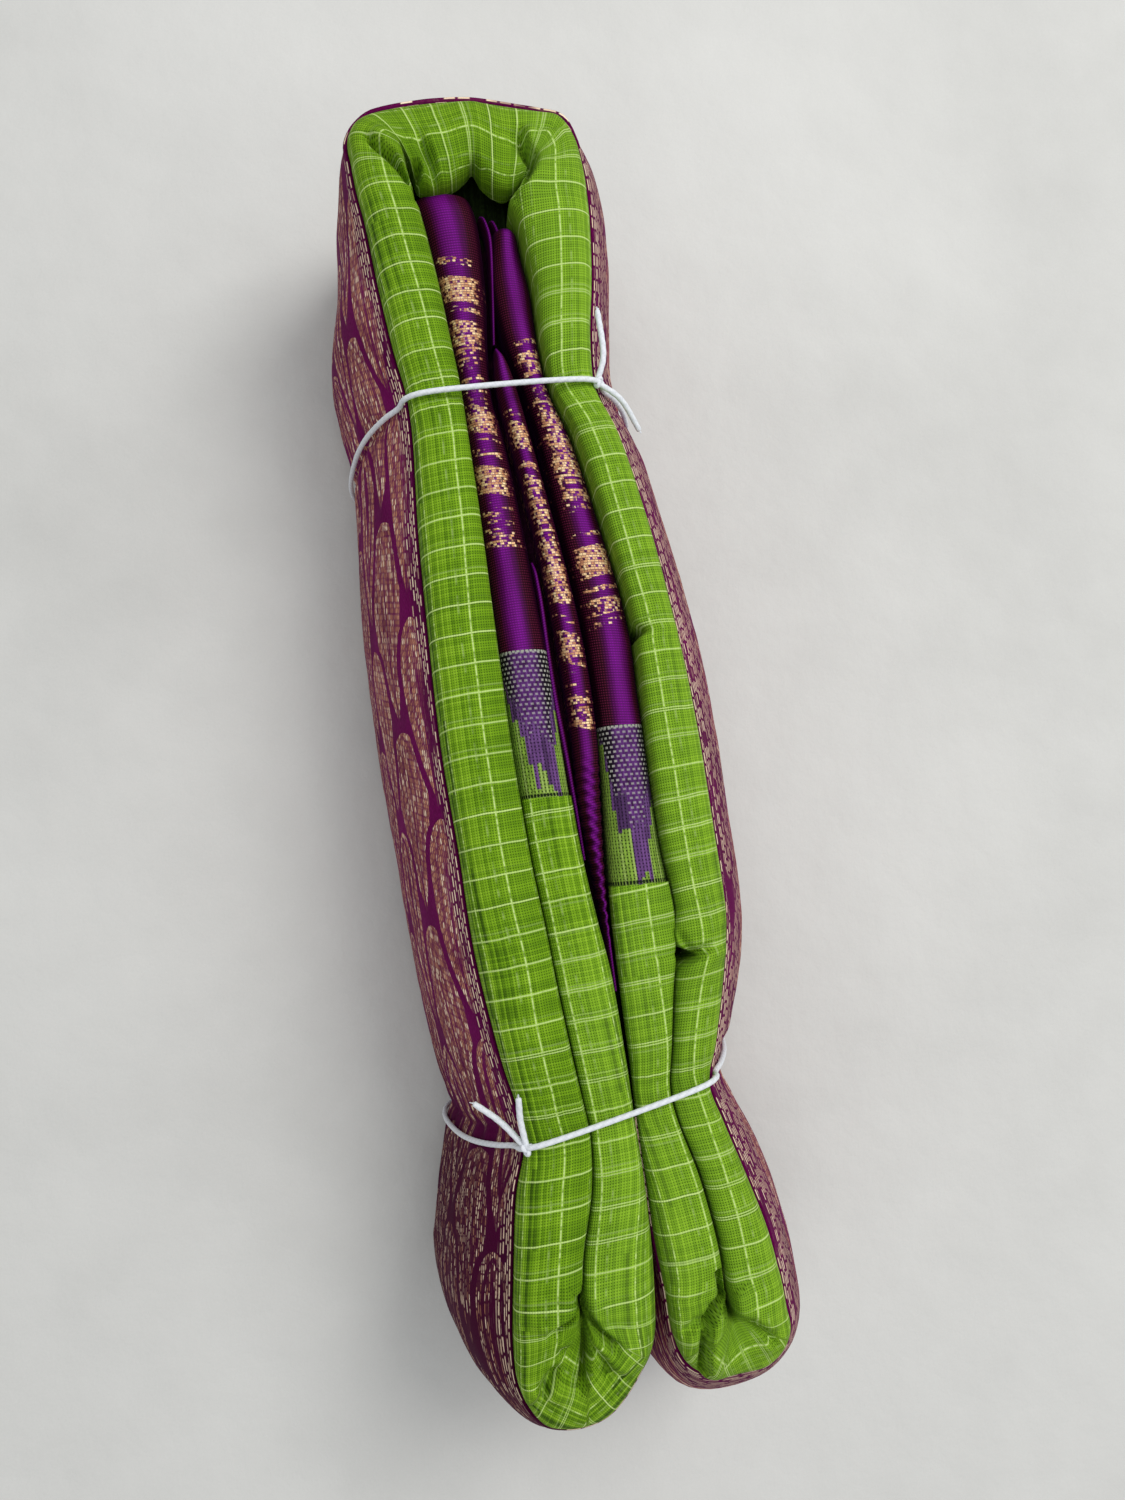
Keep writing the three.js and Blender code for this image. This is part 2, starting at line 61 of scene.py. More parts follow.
ARM_COLUMNS = ["y", "outL", "inL", "midL", "midR", "inR", "outR", "swL", "swR", "hi", "lo"]
ARMS = [
    [158, -33.6, -17.5, -0.6, 5.2, 13.6, 33.0, 8.5, 13.5, 98.0, 84.0],
    [148, -31.9, -15.2, 1.0, 4.6, 11.6, 33.1, 11.5, 13.4, 98.0, 88.5],
    [130, -29.7, -12.3, 1.4, 3.0, 14.0, 32.0, 17.0, 13.0, 98.0, 91.5],
    [112, -27.0, -10.0, 0.4, 5.4, 14.9, 29.9, 17.3, 14.0, 97.5, 92.5],
    [98, -24.2, -8.3, 0.6, 9.4, 17.2, 30.2, 17.6, 17.6, 95.5, 92.0],
    [85, -23.5, -7.6, 3.0, 12.0, 21.8, 35.0, 18.3, 17.8, 97.5, 92.5],
    [60, -24.0, -6.1, 5.9, 15.5, 27.6, 41.0, 18.6, 17.3, 98.0, 93.0],
    [30, -23.6, -4.6, 8.7, 19.7, 33.0, 46.0, 18.5, 18.3, 98.0, 94.0],
    [0, -22.6, -3.1, 10.6, 21.2, 33.9, 49.6, 17.6, 18.0, 98.0, 94.5],
    [-30, -20.1, -0.8, 13.0, 20.8, 35.2, 51.4, 17.4, 17.5, 98.0, 95.0],
    [-52, -18.6, 1.9, 16.1, 20.6, 37.4, 52.2, 17.0, 17.3, 98.0, 95.5],
    [-66, -16.8, 3.4, 18.3, 20.9, 35.6, 50.4, 17.2, 17.6, 98.0, 96.0],
    [-86, -13.2, 6.0, 19.9, 21.8, 33.0, 46.0, 17.6, 15.8, 97.4, 95.6],
    [-97, -10.5, 7.7, 20.8, 22.2, 31.6, 43.2, 18.2, 13.0, 95.8, 94.5],
    [-107, -9.0, 9.0, 21.3, 22.5, 33.3, 45.9, 17.4, 13.8, 95.3, 94.2],
    [-120, -12.3, 8.0, 22.0, 23.2, 37.0, 50.0, 17.0, 16.0, 97.5, 96.5],
    [-136, -14.4, 4.2, 22.3, 24.1, 39.9, 54.8, 18.4, 16.3, 98.0, 97.5],
    [-150, -15.9, 2.2, 21.8, 25.7, 41.0, 57.3, 19.0, 16.2, 98.0, 98.0],
]
# fold lines of the turns: outer end, inner end, swell of the wall, crest. The inner ends of the
# top turn follow its scallops.
TOP_TURN = [
    [-34.6, 167, -18.4, 162.2, 7.0, 98.0], [-35.0, 173, -17.9, 164.4, 5.0, 98.0],
    [-32.0, 178, -17.0, 163.6, 6.0, 98.0], [-25.0, 181.2, -15.4, 158.4, 9.0, 97.5],
    [-12.7, 183.5, -9.2, 157.6, 12.0, 97.0], [-5.5, 184.1, -4.4, 160.0, 12.6, 97.0],
    [-1.6, 184.2, -1.6, 162.4, 12.8, 97.0], [1.6, 184.1, 0.2, 164.2, 13.0, 97.0],
    [4.8, 183.7, 2.2, 160.2, 13.0, 97.0], [9.4, 182.9, 5.6, 157.0, 13.0, 97.0],
    [14.4, 182.0, 9.2, 156.4, 13.2, 97.2], [20.0, 181.0, 12.6, 158.4, 13.5, 97.5],
    [26.6, 179.2, 15.4, 160.4, 14.5, 98.0], [30.6, 173, 15.6, 161.0, 15.5, 98.0],
    [32.3, 165.5, 14.4, 160.0, 14.5, 98.0],
]
LEFT_TURN = [
    [-16.4, -158, 1.7, -151.6, 18.2, 98.0], [-16.0, -167, 1.7, -151.8, 15.8, 98.0],
    [-13.6, -173.6, 1.8, -151.9, 14.0, 98.0], [-9.6, -178.6, 1.9, -152.0, 13.4, 97.5],
    [-4.4, -180.4, 2.0, -152.1, 13.8, 97.0], [1.6, -180.5, 2.2, -152.1, 14.4, 97.0],
    [7.4, -178.7, 2.3, -152.0, 15.0, 97.0], [12.2, -174.7, 2.5, -151.9, 13.5, 97.5],
    [16.4, -169.4, 2.6, -151.8, 10.0, 98.0], [19.6, -164.4, 2.6, -151.6, 5.5, 98.0],
    [21.1, -158, 2.6, -151.4, 2.6, 98.0],
]
RIGHT_TURN = [
    [57.9, -157, 41.6, -155.2, 16.5, 98.0], [58.4, -163, 41.6, -155.4, 17.5, 98.0],
    [55.9, -168.3, 41.5, -155.6, 19.5, 97.5], [50.6, -172.2, 41.4, -155.8, 21.0, 97.0],
    [43.4, -173.0, 41.2, -155.9, 22.0, 97.0], [36.6, -173.0, 41.0, -155.8, 20.0, 97.0],
    [31.6, -171.2, 40.8, -155.7, 13.0, 97.5], [28.2, -167.6, 40.7, -155.5, 6.0, 98.0],
    [26.5, -161.5, 40.6, -155.2, 2.6, 98.0],
]
LOBE, TURN = -107.0, 159.0
LEFT_BAND, RIGHT_BAND = (-16.5, 24.0), (-42.0, 1.5)
LEFT_PALLU, RIGHT_PALLU, RIDGE = 156.0, 150.0, (-60.0, 112.0)
TIES = [
    {"name": "tie_upper", "y": 95.8, "tilt": 0.05, "knotX": 29.5,
     "tails": [[[31.6, 105, 95.5], [31.0, 118, 96.5]], [[36.3, 94.5, 91], [42.2, 87.4, 85]]]},
    {"name": "tie_lower", "y": -107.4, "tilt": 0.23, "knotX": -8.4,
     "tails": [[[-14.6, -100.5, 91], [-21.0, -95.5, 89]], [[-9.6, -99.4, 96], [-9.8, -93.6, 98.5]]]},
]

# ------------------------------------------------------------------ camera, as in the photograph
EYE = np.array([-30.1, -30.2, 398.9])
VIEW = np.array([0.1311, 0.0846, -0.9878])
VIEW = VIEW / np.linalg.norm(VIEW)
UP = np.array([0.0781, 0.9924, 0.0953])
RIGHT = np.cross(VIEW, UP); RIGHT /= np.linalg.norm(RIGHT)
UP = np.cross(RIGHT, VIEW)
FOCAL = 1140.0                       # pixels, in a frame of 1125 by 1500

cam_data = bpy.data.cameras.new("camera")
cam = bpy.data.objects.new("camera", cam_data)
bpy.context.scene.collection.objects.link(cam)
cam_data.sensor_fit = "AUTO"
cam_data.sensor_width = 36.0
cam_data.lens = 36.0 * FOCAL / 1500.0
cam_data.clip_start, cam_data.clip_end = 0.02, 20.0
turn = Matrix([[RIGHT[i], UP[i], -VIEW[i]] for i in range(3)]).to_4x4()
cam.matrix_world = Matrix.Translation(Vector((EYE - CENTRE) * 0.001)) @ turn
bpy.context.scene.camera = cam


def px(points, z):
    """Places of the photograph's pixels on the level z, in millimetres: an array of x, y."""
    p = np.asarray(points, float).reshape(-1, 2)
    r = (p[:, :1] - 562.5) * RIGHT - (p[:, 1:] - 750.0) * UP + FOCAL * VIEW
    return (EYE + r * ((z - EYE[2]) / r[:, 2:]))[:, :2]


def to_px(p):
    """The pixel of the photograph where points of the table frame show."""
    d = np.asarray(p, float) - EYE
    k = FOCAL / (d @ VIEW)
    return np.stack([562.5 + (d @ RIGHT) * k, 750.0 - (d @ UP) * k], -1)


# ------------------------------------------------------------------ curves through table rows
def through(xs, ys, x):
    """A smooth curve through rows, its slope at each row from the rows beside it."""
    xs, ys, x = np.asarray(xs, float), np.asarray(ys, float), np.asarray(x, float)
    if xs[0] > xs[-1]:
        xs, ys = xs[::-1], ys[::-1]
    s = np.empty_like(ys)
    s[1:-1] = (ys[2:] - ys[:-2]) / (xs[2:] - xs[:-2])
    s[0], s[-1] = (ys[1] - ys[0]) / (xs[1] - xs[0]), (ys[-1] - ys[-2]) / (xs[-1] - xs[-2])
    k = np.clip(np.searchsorted(xs, x) - 1, 0, len(xs) - 2)
    d = xs[k + 1] - xs[k]
    t = (x - xs[k]) / d
    return ((2 * t**3 - 3 * t**2 + 1) * ys[k] + (t**3 - 2 * t**2 + t) * s[k] * d
            + (-2 * t**3 + 3 * t**2) * ys[k + 1] + (t**3 - t**2) * s[k + 1] * d)


ARM = np.array(ARMS, float)


def arm(name, y):
    return through(ARM[:, 0], ARM[:, ARM_COLUMNS.index(name)], y)


def smooth(x, a, b):
    t = np.clip((np.asarray(x, float) - a) / (b - a), 0, 1)
    return t * t * (3 - 2 * t)


def noise1(x, seed, octaves=3):
    """A smooth wander along x, about -1 to 1, the same each run."""
    rng = np.random.default_rng(seed)
    out, amp, total = np.zeros_like(np.asarray(x, float)), 1.0, 0.0
    for k in range(octaves):
        table = rng.uniform(-1, 1, 257)
        t = np.asarray(x, float) * 2**k + 31.7 * k
        i = np.floor(t).astype(int)
        f = t - i
        f = f * f * (3 - 2 * f)
        out = out + amp * (table[i % 256] * (1 - f) + table[(i + 1) % 256] * f)
        total += amp
        amp *= 0.5
    return out / total


def noise2(x, y, seed, octaves=3):
    rng = np.random.default_rng(seed)
    out, amp, total = np.zeros(np.broadcast(x, y).shape), 1.0, 0.0
    for k in range(octaves):
        table = rng.uniform(-1, 1, (64, 64))
        a, b = np.asarray(x, float) * 2**k + 11.3 * k, np.asarray(y, float) * 2**k + 5.9 * k
        i, j = np.floor(a).astype(int), np.floor(b).astype(int)
        f, g = a - i, b - j
        f, g = f * f * (3 - 2 * f), g * g * (3 - 2 * g)
        i, j, i2, j2 = i % 64, j % 64, (i + 1) % 64, (j + 1) % 64
        out = out + amp * ((table[i, j] * (1 - f) + table[i2, j] * f) * (1 - g)
                           + (table[i, j2] * (1 - f) + table[i2, j2] * f) * g)
        total += amp
        amp *= 0.5
    return out / total


# ------------------------------------------------------------------ the folded strip's path
# A row: outer end x, y, inner end x, y, swell, crest, edge level outside and inside, place of the
# main check line as a share of the way from the outer to the inner end.
OL_MAIN = [(160, -25.3), (150, -23.0), (140, -21.2), (125, -18.2), (112, -16.0), (100, -13.9),
           (88, -12.1), (75, -12.2), (60, -11.7), (30, -11.8), (0, -10.6), (-15, -9.7), (-30, -8.7),
           (-45, -7.1), (-60, -4.6), (-75, -3.6), (-90, -1.4)]
OR_MAIN = [(160, 22.3), (150, 22.7), (140, 22.3), (125, 21.4), (112, 20.1), (100, 19.6), (88, 25.2),
           (75, 28.9), (60, 31.4), (45, 34.2), (30, 37.2), (15, 38.1), (0, 39.0), (-15, 39.9),
           (-30, 40.8), (-45, 42.0), (-52, 42.8), (-60, 43.7), (-75, 40.0), (-90, 37.1)]
OL_MAIN += [(y, x) for x, y in px([(566, 1152), (555, 1310)], 97.0)]
OR_MAIN += [(y, x) for x, y in px([(718, 1152), (738, 1220), (756, 1305)], 97.0)]
IL_MAIN = [(y, x) for x, y in px([(532, 815), (539, 868), (548, 902), (556, 953), (564, 997),
                                  (576, 1054), (592, 1169), (585, 1300)], 95.0)]
IR_MAIN = [(y, x) for x, y in px([(647, 896), (653, 936), (657, 969), (663, 1003), (667, 1042),
                                  (687, 1150), (712, 1208), (717, 1295)], 95.0)]


def main_x(rows, y):
    r = np.array(sorted(rows))
    return np.interp(y, r[:, 0], r[:, 1])


def arm_rows(ys, side):
    ys = np.asarray(ys, float)
    if side == "OL":
        o, i, sw, hi, m = arm("outL", ys), arm("inL", ys), arm("swL", ys), arm("hi", ys), main_x(OL_MAIN, ys)
    if side == "OR":
        o, i, sw, hi, m = arm("outR", ys), arm("inR", ys), arm("swR", ys), arm("hi", ys), main_x(OR_MAIN, ys)
    if side == "IL":
        o, i, sw, hi, m = arm("midL", ys), arm("inL", ys), None, arm("lo", ys), main_x(IL_MAIN, ys)
    if side == "IR":
        o, i, sw, hi, m = arm("midR", ys), arm("inR", ys), None, arm("lo", ys), main_x(IR_MAIN, ys)
    if side[0] == "O":
        eo = ei = np.full_like(ys, EDGE_Z)
    else:
        sw = np.maximum(0.2, (arm("midR", ys) - arm("midL", ys)) / 2 - 0.4)
        eo = ei = np.where(ys > LOBE, hi - 7, EDGE_Z)
        k = smooth(-ys, 98, 116)
        eo = ei = (hi - 7) * (1 - k) + EDGE_Z * k
    mf = np.clip((m - o) / (i - o), 0.15, 0.85)
    return np.stack([o, ys, i, ys, sw, hi, eo, ei, mf], 1)


def turn_rows(table, mf0, mf1):
    t = np.array(table, float)
    mf = np.linspace(mf0, mf1, len(t))
    e = np.full(len(t), EDGE_Z)
    return np.column_stack([t, e, e, mf])


def mend(rows_a, rows_b):
    return np.vstack([rows_a, rows_b])


def dense(rows, step):
    """The path's rows at an even spacing of the line's middle, with that length as last column."""
    mid = (rows[:, 0:2] + rows[:, 2:4]) / 2
    out = rows[:, 0:2]
    d = np.hypot(*np.diff(0.35 * mid + 0.65 * out, axis=0).T)
    s = np.concatenate([[0], np.cumsum(d)])
    n = int(round(s[-1] / step)) + 1
    x = np.linspace(0, s[-1], n)
    cols = [through(s, rows[:, c], x) for c in range(rows.shape[1])]
    return np.column_stack(cols + [x])


STEP_Y = 4.0


def ys_between(a, b):
    n = max(2, int(round(abs(b - a) / STEP_Y)) + 1)
    return np.linspace(a, b, n)


# ------------------------------------------------------------------ creases, by where they show
def polyline_distance(x, y, pts):
    """Distance to a polyline, signed with + on its left, and the share of its length there."""
    pts = np.asarray(pts, float)
    seg = np.hypot(*np.diff(pts, axis=0).T)
    start = np.concatenate([[0], np.cumsum(seg)])
    best = np.full(x.shape, 1e9); side = np.zeros(x.shape); share = np.zeros(x.shape)
    for k in range(len(pts) - 1):
        a, b = pts[k], pts[k + 1]
        u = (b - a) / max(seg[k], 1e-9)
        rx, ry = x - a[0], y - a[1]
        t = np.clip(rx * u[0] + ry * u[1], 0, seg[k])
        dx, dy = rx - t * u[0], ry - t * u[1]
        d = np.hypot(dx, dy)
        better = d < best
        best = np.where(better, d, best)
        side = np.where(better, np.sign(u[0] * ry - u[1] * rx), side)
        share = np.where(better, (start[k] + t) / start[-1], share)
    return best, side, share


# pixels of the photograph, level, depth of the groove, its half width, lift beside it (on the
# left of the direction if positive side), width of the lift, and which ends fade
CREASES = [
    # top bend: the mitre at its left corner, folds across, and the right corner
    ([(362, 134), (376, 147), (389, 158), (400, 169), (407, 178)], 96, 4.2, 1.1, 1, 1.5, 4.0, (0.30, 0.0)),
    ([(414, 133), (426, 151), (432, 166), (435, 184)], 96, 2.6, 1.7, 1, 1.0, 3.4, (0.35, 0.0)),
    ([(403, 138), (409, 155), (416, 168)], 96, 1.4, 1.5, -1, 0.6, 3.0, (0.4, 0.0)),
    ([(417, 166), (417, 180), (418, 198)], 93, 7.0, 1.5, 1, 0.5, 2.4, (0.1, 0.0)),
    ([(518, 127), (521, 146), (526, 158), (532, 165), (530, 173), (522, 186)], 95, 4.6, 1.5, 1, 1.5, 3.6, (0.2, 0.0)),
    ([(510, 131), (514, 146), (520, 160)], 95, 1.2, 1.3, 1, 0.6, 2.6, (0.3, 0.3)),
    ([(478, 158), (477, 172), (476, 184)], 95, 2.6, 2.4, 1, 0.8, 4.5, (0.5, 0.0)),
    ([(452, 160), (449, 176), (446, 190)], 95, 1.1, 2.2, 1, 0.4, 3.6, (0.5, 0.0)),
    ([(566, 122), (556, 127), (545, 128), (532, 131)], 96, 1.3, 1.8, 1, 0.7, 3.0, (0.3, 0.3)),
    # left lobe
    ([(580, 1299), (578, 1313), (566, 1322), (554, 1331), (550, 1341)], 97, 3.0, 1.2, -1, 1.5, 4.2, (0.0, 0.3)),
    ([(563, 1365), (553, 1374), (546, 1385), (540, 1398)], 96, 3.0, 1.6, 1, 1.3, 4.0, (0.25, 0.25)),
    ([(583, 1304), (585, 1331), (586, 1353), (585, 1370), (583, 1384), (573, 1398)], 97, 4.2, 1.1, 1, 1.5, 4.0, (0.0, 0.25)),
    ([(582, 1308), (590, 1320), (598, 1330), (612, 1343), (625, 1348)], 97, 4.2, 1.2, -1, 1.6, 4.0, (0.0, 0.3)),
    ([(587, 1338), (601, 1351), (606, 1360), (607, 1382)], 97, 2.0, 1.1, 1, 1.3, 3.2, (0.15, 0.3)),
    ([(606, 1362), (616, 1370), (623, 1380)], 96, 1.1, 1.4, 1, 0.5, 2.8, (0.2, 0.4)),
    ([(556, 1352), (566, 1349), (577, 1352)], 97, 1.0, 1.1, 1, 0.6, 2.4, (0.2, 0.4)),
    # right lobe
    ([(720, 1270), (726, 1298), (728, 1308), (724, 1316)], 97, 4.5, 1.3, 1, 0.8, 2.6, (0.1, 0.1)),
    ([(725, 1300), (714, 1310), (707, 1323), (705, 1344), (705, 1359), (706, 1376)], 97, 4.4, 1.1, 1, 1.9, 4.4, (0.0, 0.0)),
    ([(726, 1314), (741, 1319), (752, 1322), (762, 1330), (779, 1339)], 97, 1.4, 1.6, 1, 0.9, 3.4, (0.1, 0.35)),
    ([(703, 1318), (692, 1330), (678, 1341)], 97, 1.3, 1.6, 1, 0.6, 3.0, (0.2, 0.4)),
    ([(766, 1333), (771, 1340), (778, 1346)], 96, 1.5, 1.0, -1, 0.8, 2.2, (0.2, 0.4)),
    # the kink of the outer right roll
    ([(681, 957), (690, 956), (697, 953), (705, 948), (714, 940)], 97, 3.4, 1.2, -1, 1.4, 4.4, (0.0, 0.45)),
    ([(676, 926), (684, 942), (694, 953)], 97, 2.0, 1.6, -1, 0.7, 3.4, (0.4, 0.0)),
    # the notch beside the pallu, and the pull of the upper string
    ([(628, 618), (634, 630), (637, 640)], 96, 2.2, 1.5, -1, 0.8, 3.0, (0.0, 0.4)),
    ([(520, 205), (512, 196), (518, 186)], 95, 1.6, 1.6, 1, 0.6, 3.0, (0.2, 0.3)),
]


def crease_height(x, y):
    h = np.zeros(x.shape)
    for pts, z, depth, width, side, lift, lift_w, fade in CREASES:
        line = px(pts, z)
        lo, hi = line.min(0) - 14, line.max(0) + 14
        near = (x > lo[0]) & (x < hi[0]) & (y > lo[1]) & (y < hi[1])
        if not near.any():
            continue
        d, s, t = polyline_distance(x[near], y[near], line)
        end = np.ones_like(t)
        if fade[0] > 0:
            end = end * smooth(t, 0, fade[0])
        if fade[1] > 0:
            end = end * smooth(1 - t, 0, fade[1])
        more = 1.35 if line[:, 1].mean() < -140 else 1.0
        width, depth, lift = width * 0.72, depth * 1.35 * more, lift * 1.5 * more
        beyond = np.exp(-(d / width) ** 2)
        g = -depth * beyond * end
        off = 1.4 * width + 0.6
        over = s * side > 0
        g = g + lift * end * np.where(over, np.exp(-((d - off) / lift_w) ** 2) - np.exp(-(off / lift_w) ** 2) * beyond, 0)
        g = g - 0.55 * lift * end * np.where(over, 0, (1 - beyond) * np.exp(-d / 4.5))
        h[near] += g
    return h


# ------------------------------------------------------------------ meshes
def put_mesh(name, P, uvs, mat, flip=False, closed=False):
    """A mesh through a grid of points (n, m, 3) in table millimetres, with its UV maps."""
    n, m, _ = P.shape
    co = (P.reshape(-1, 3) - CENTRE) * 0.001
    i = np.arange(n - 1)[:, None] * m
    j = np.arange(m if closed else m - 1)[None, :]
    j2 = (j + 1) % m
    quads = np.stack([i + j, i + j2, i + m + j2, i + m + j], -1).reshape(-1, 4)
    if flip:
        quads = quads[:, ::-1]
    me = bpy.data.meshes.new(name)
    me.vertices.add(len(co)); me.vertices.foreach_set("co", co.ravel().astype(np.float32))
    me.loops.add(quads.size); me.loops.foreach_set("vertex_index", quads.ravel().astype(np.int32))
    me.polygons.add(len(quads))
    me.polygons.foreach_set("loop_start", (np.arange(len(quads)) * 4).astype(np.int32))
    me.polygons.foreach_set("loop_total", np.full(len(quads), 4, np.int32))
    me.polygons.foreach_set("use_smooth", np.ones(len(quads), bool))
    me.update(calc_edges=True)
    for key, (u, v) in uvs.items():
        layer = me.uv_layers.new(name=key)
        if closed:                    # the last column of quads runs on past the seam
            jj = np.broadcast_to(j, (n - 1, m)).reshape(-1)
            ii = np.broadcast_to(np.arange(n - 1)[:, None], (n - 1, m)).reshape(-1)
            corners = [(ii, jj), (ii, jj + 1), (ii + 1, jj + 1), (ii + 1, jj)]
            if flip:
                corners = corners[::-1]
            uv = np.stack([np.stack([u[a, b], v[a, b]], -1) for a, b in corners], 1).reshape(-1, 2)
        else:
            uv = np.stack([u.reshape(-1)[quads.ravel()], v.reshape(-1)[quads.ravel()]], -1)
        layer.data.foreach_set("uv", uv.ravel().astype(np.float32))
    me.validate()
    o = bpy.data.objects.new(name, me)
    bpy.context.scene.collection.objects.link(o)
    me.materials.append(mat)
    return o


def surface_area(P):
    a, b, c, d = P[:-1, :-1], P[:-1, 1:], P[1:, 1:], P[1:, :-1]
    t = np.linalg.norm(np.cross(b - a, c - a), axis=-1) + np.linalg.norm(np.cross(c - a, d - a), axis=-1)
    return float(t.sum() / 2) * 1e-6


def place(R, out, z):
    """Points out from each row's outer end along its fold line, at height z; out and z are (n, m)."""
    e = R[:, 0:2] - R[:, 2:4]
    e = e / np.linalg.norm(e, axis=1, keepdims=True)
    x = R[:, 0:1] + e[:, 0:1] * out
    y = R[:, 1:2] + e[:, 1:2] * out
    return np.stack([x, y, z], -1)


def lengths_across(P):
    d = np.linalg.norm(np.diff(P, axis=1), axis=-1)
    return np.concatenate([np.zeros((len(P), 1)), np.cumsum(d, axis=1)], 1)


def roll_grid(R, n_arch=34, tuck_out=5.0, inner=None):
    """Cloth rolled over the top edge: tucked in behind the wall, over the crest, down the inner side.
    inner is 1 on the rows of an inner arm, whose far side faces the middle."""
    w = np.hypot(R[:, 0] - R[:, 2], R[:, 1] - R[:, 3])[:, None]
    half = w / 2
    hi, eo, ei = R[:, 5:6], R[:, 6:7], R[:, 7:8]
    if inner is None:
        inner = np.zeros(len(R))
    inner = inner[:, None]
    y = R[:, 3:4]
    gap = 0.55 - 0.85 * inner
    gap_in = 0.16 + 0.10 * smooth(-y, 100, 140)
    tuck_in = 14.0 - 11.5 * smooth(y, 152, 157)
    a = np.linspace(0, math.pi, n_arch)[None, :]
    c, s = np.cos(a), np.maximum(np.sin(a), 0)
    # the side that faces out is rounder than the side that is pressed against its neighbour
    p_out, p_in = 0.66 - 0.10 * inner, 0.28 + 0.18 * smooth(y, 80, 120)
    power = np.where(c > 0, p_out, p_in)
    edge = eo + (ei - eo) * (a / math.pi)
    out = -half + (half - np.where(c > 0, gap, gap_in)) * np.sign(c) * np.abs(c) ** 0.78
    lean = 1.0 - 0.10 * np.clip(c, 0, 1) * (1 - inner)
    z = edge + (hi - edge) * s ** power * lean
    to = np.array([1.0, 0.5, 0.2])[None, :]
    out0 = -1.6 * to ** 1.5 - gap
    z0 = eo - tuck_out * to
    ti = np.array([0.15, 0.35, 0.65, 1.0])[None, :]
    out1 = -w + gap_in + 0.4 * ti
    z1 = ei - tuck_in * ti
    out = np.concatenate([np.broadcast_to(out0, (len(R), 3)), out, out1], 1)
    z = np.concatenate([np.broadcast_to(z0, (len(R), 3)), z, z1], 1)
    top = np.concatenate([np.zeros((len(R), 3)), np.broadcast_to(s ** 0.5, (len(R), n_arch)), np.zeros((len(R), 4))], 1)
    z = np.broadcast_to(z, out.shape)
    return place(R, out, z), top


def roll_uv(P, R, first=3, n_arch=34):
    """Length along the strip and length across the roll from its main check line, in mm."""
    v = lengths_across(P)
    e = R[:, 0:2] - R[:, 2:4]
    w = np.linalg.norm(e, axis=1)
    e = e / w[:, None]
    out = -((R[:, 0:1] - P[..., 0]) * e[:, 0:1] + (R[:, 1:2] - P[..., 1]) * e[:, 1:2])
    frac = -out / w[:, None]
    vm = np.array([np.interp(R[k, 8], np.maximum.accumulate(frac[k, first:first + n_arch]), v[k, first:first + n_arch]) for k in range(len(R))])
    ker = np.ones(15) / 15
    vm = np.convolve(np.pad(vm, 7, mode="edge"), ker, mode="valid")
    u = np.broadcast_to(R[:, 9:10], v.shape)
    return u, v - vm[:, None]


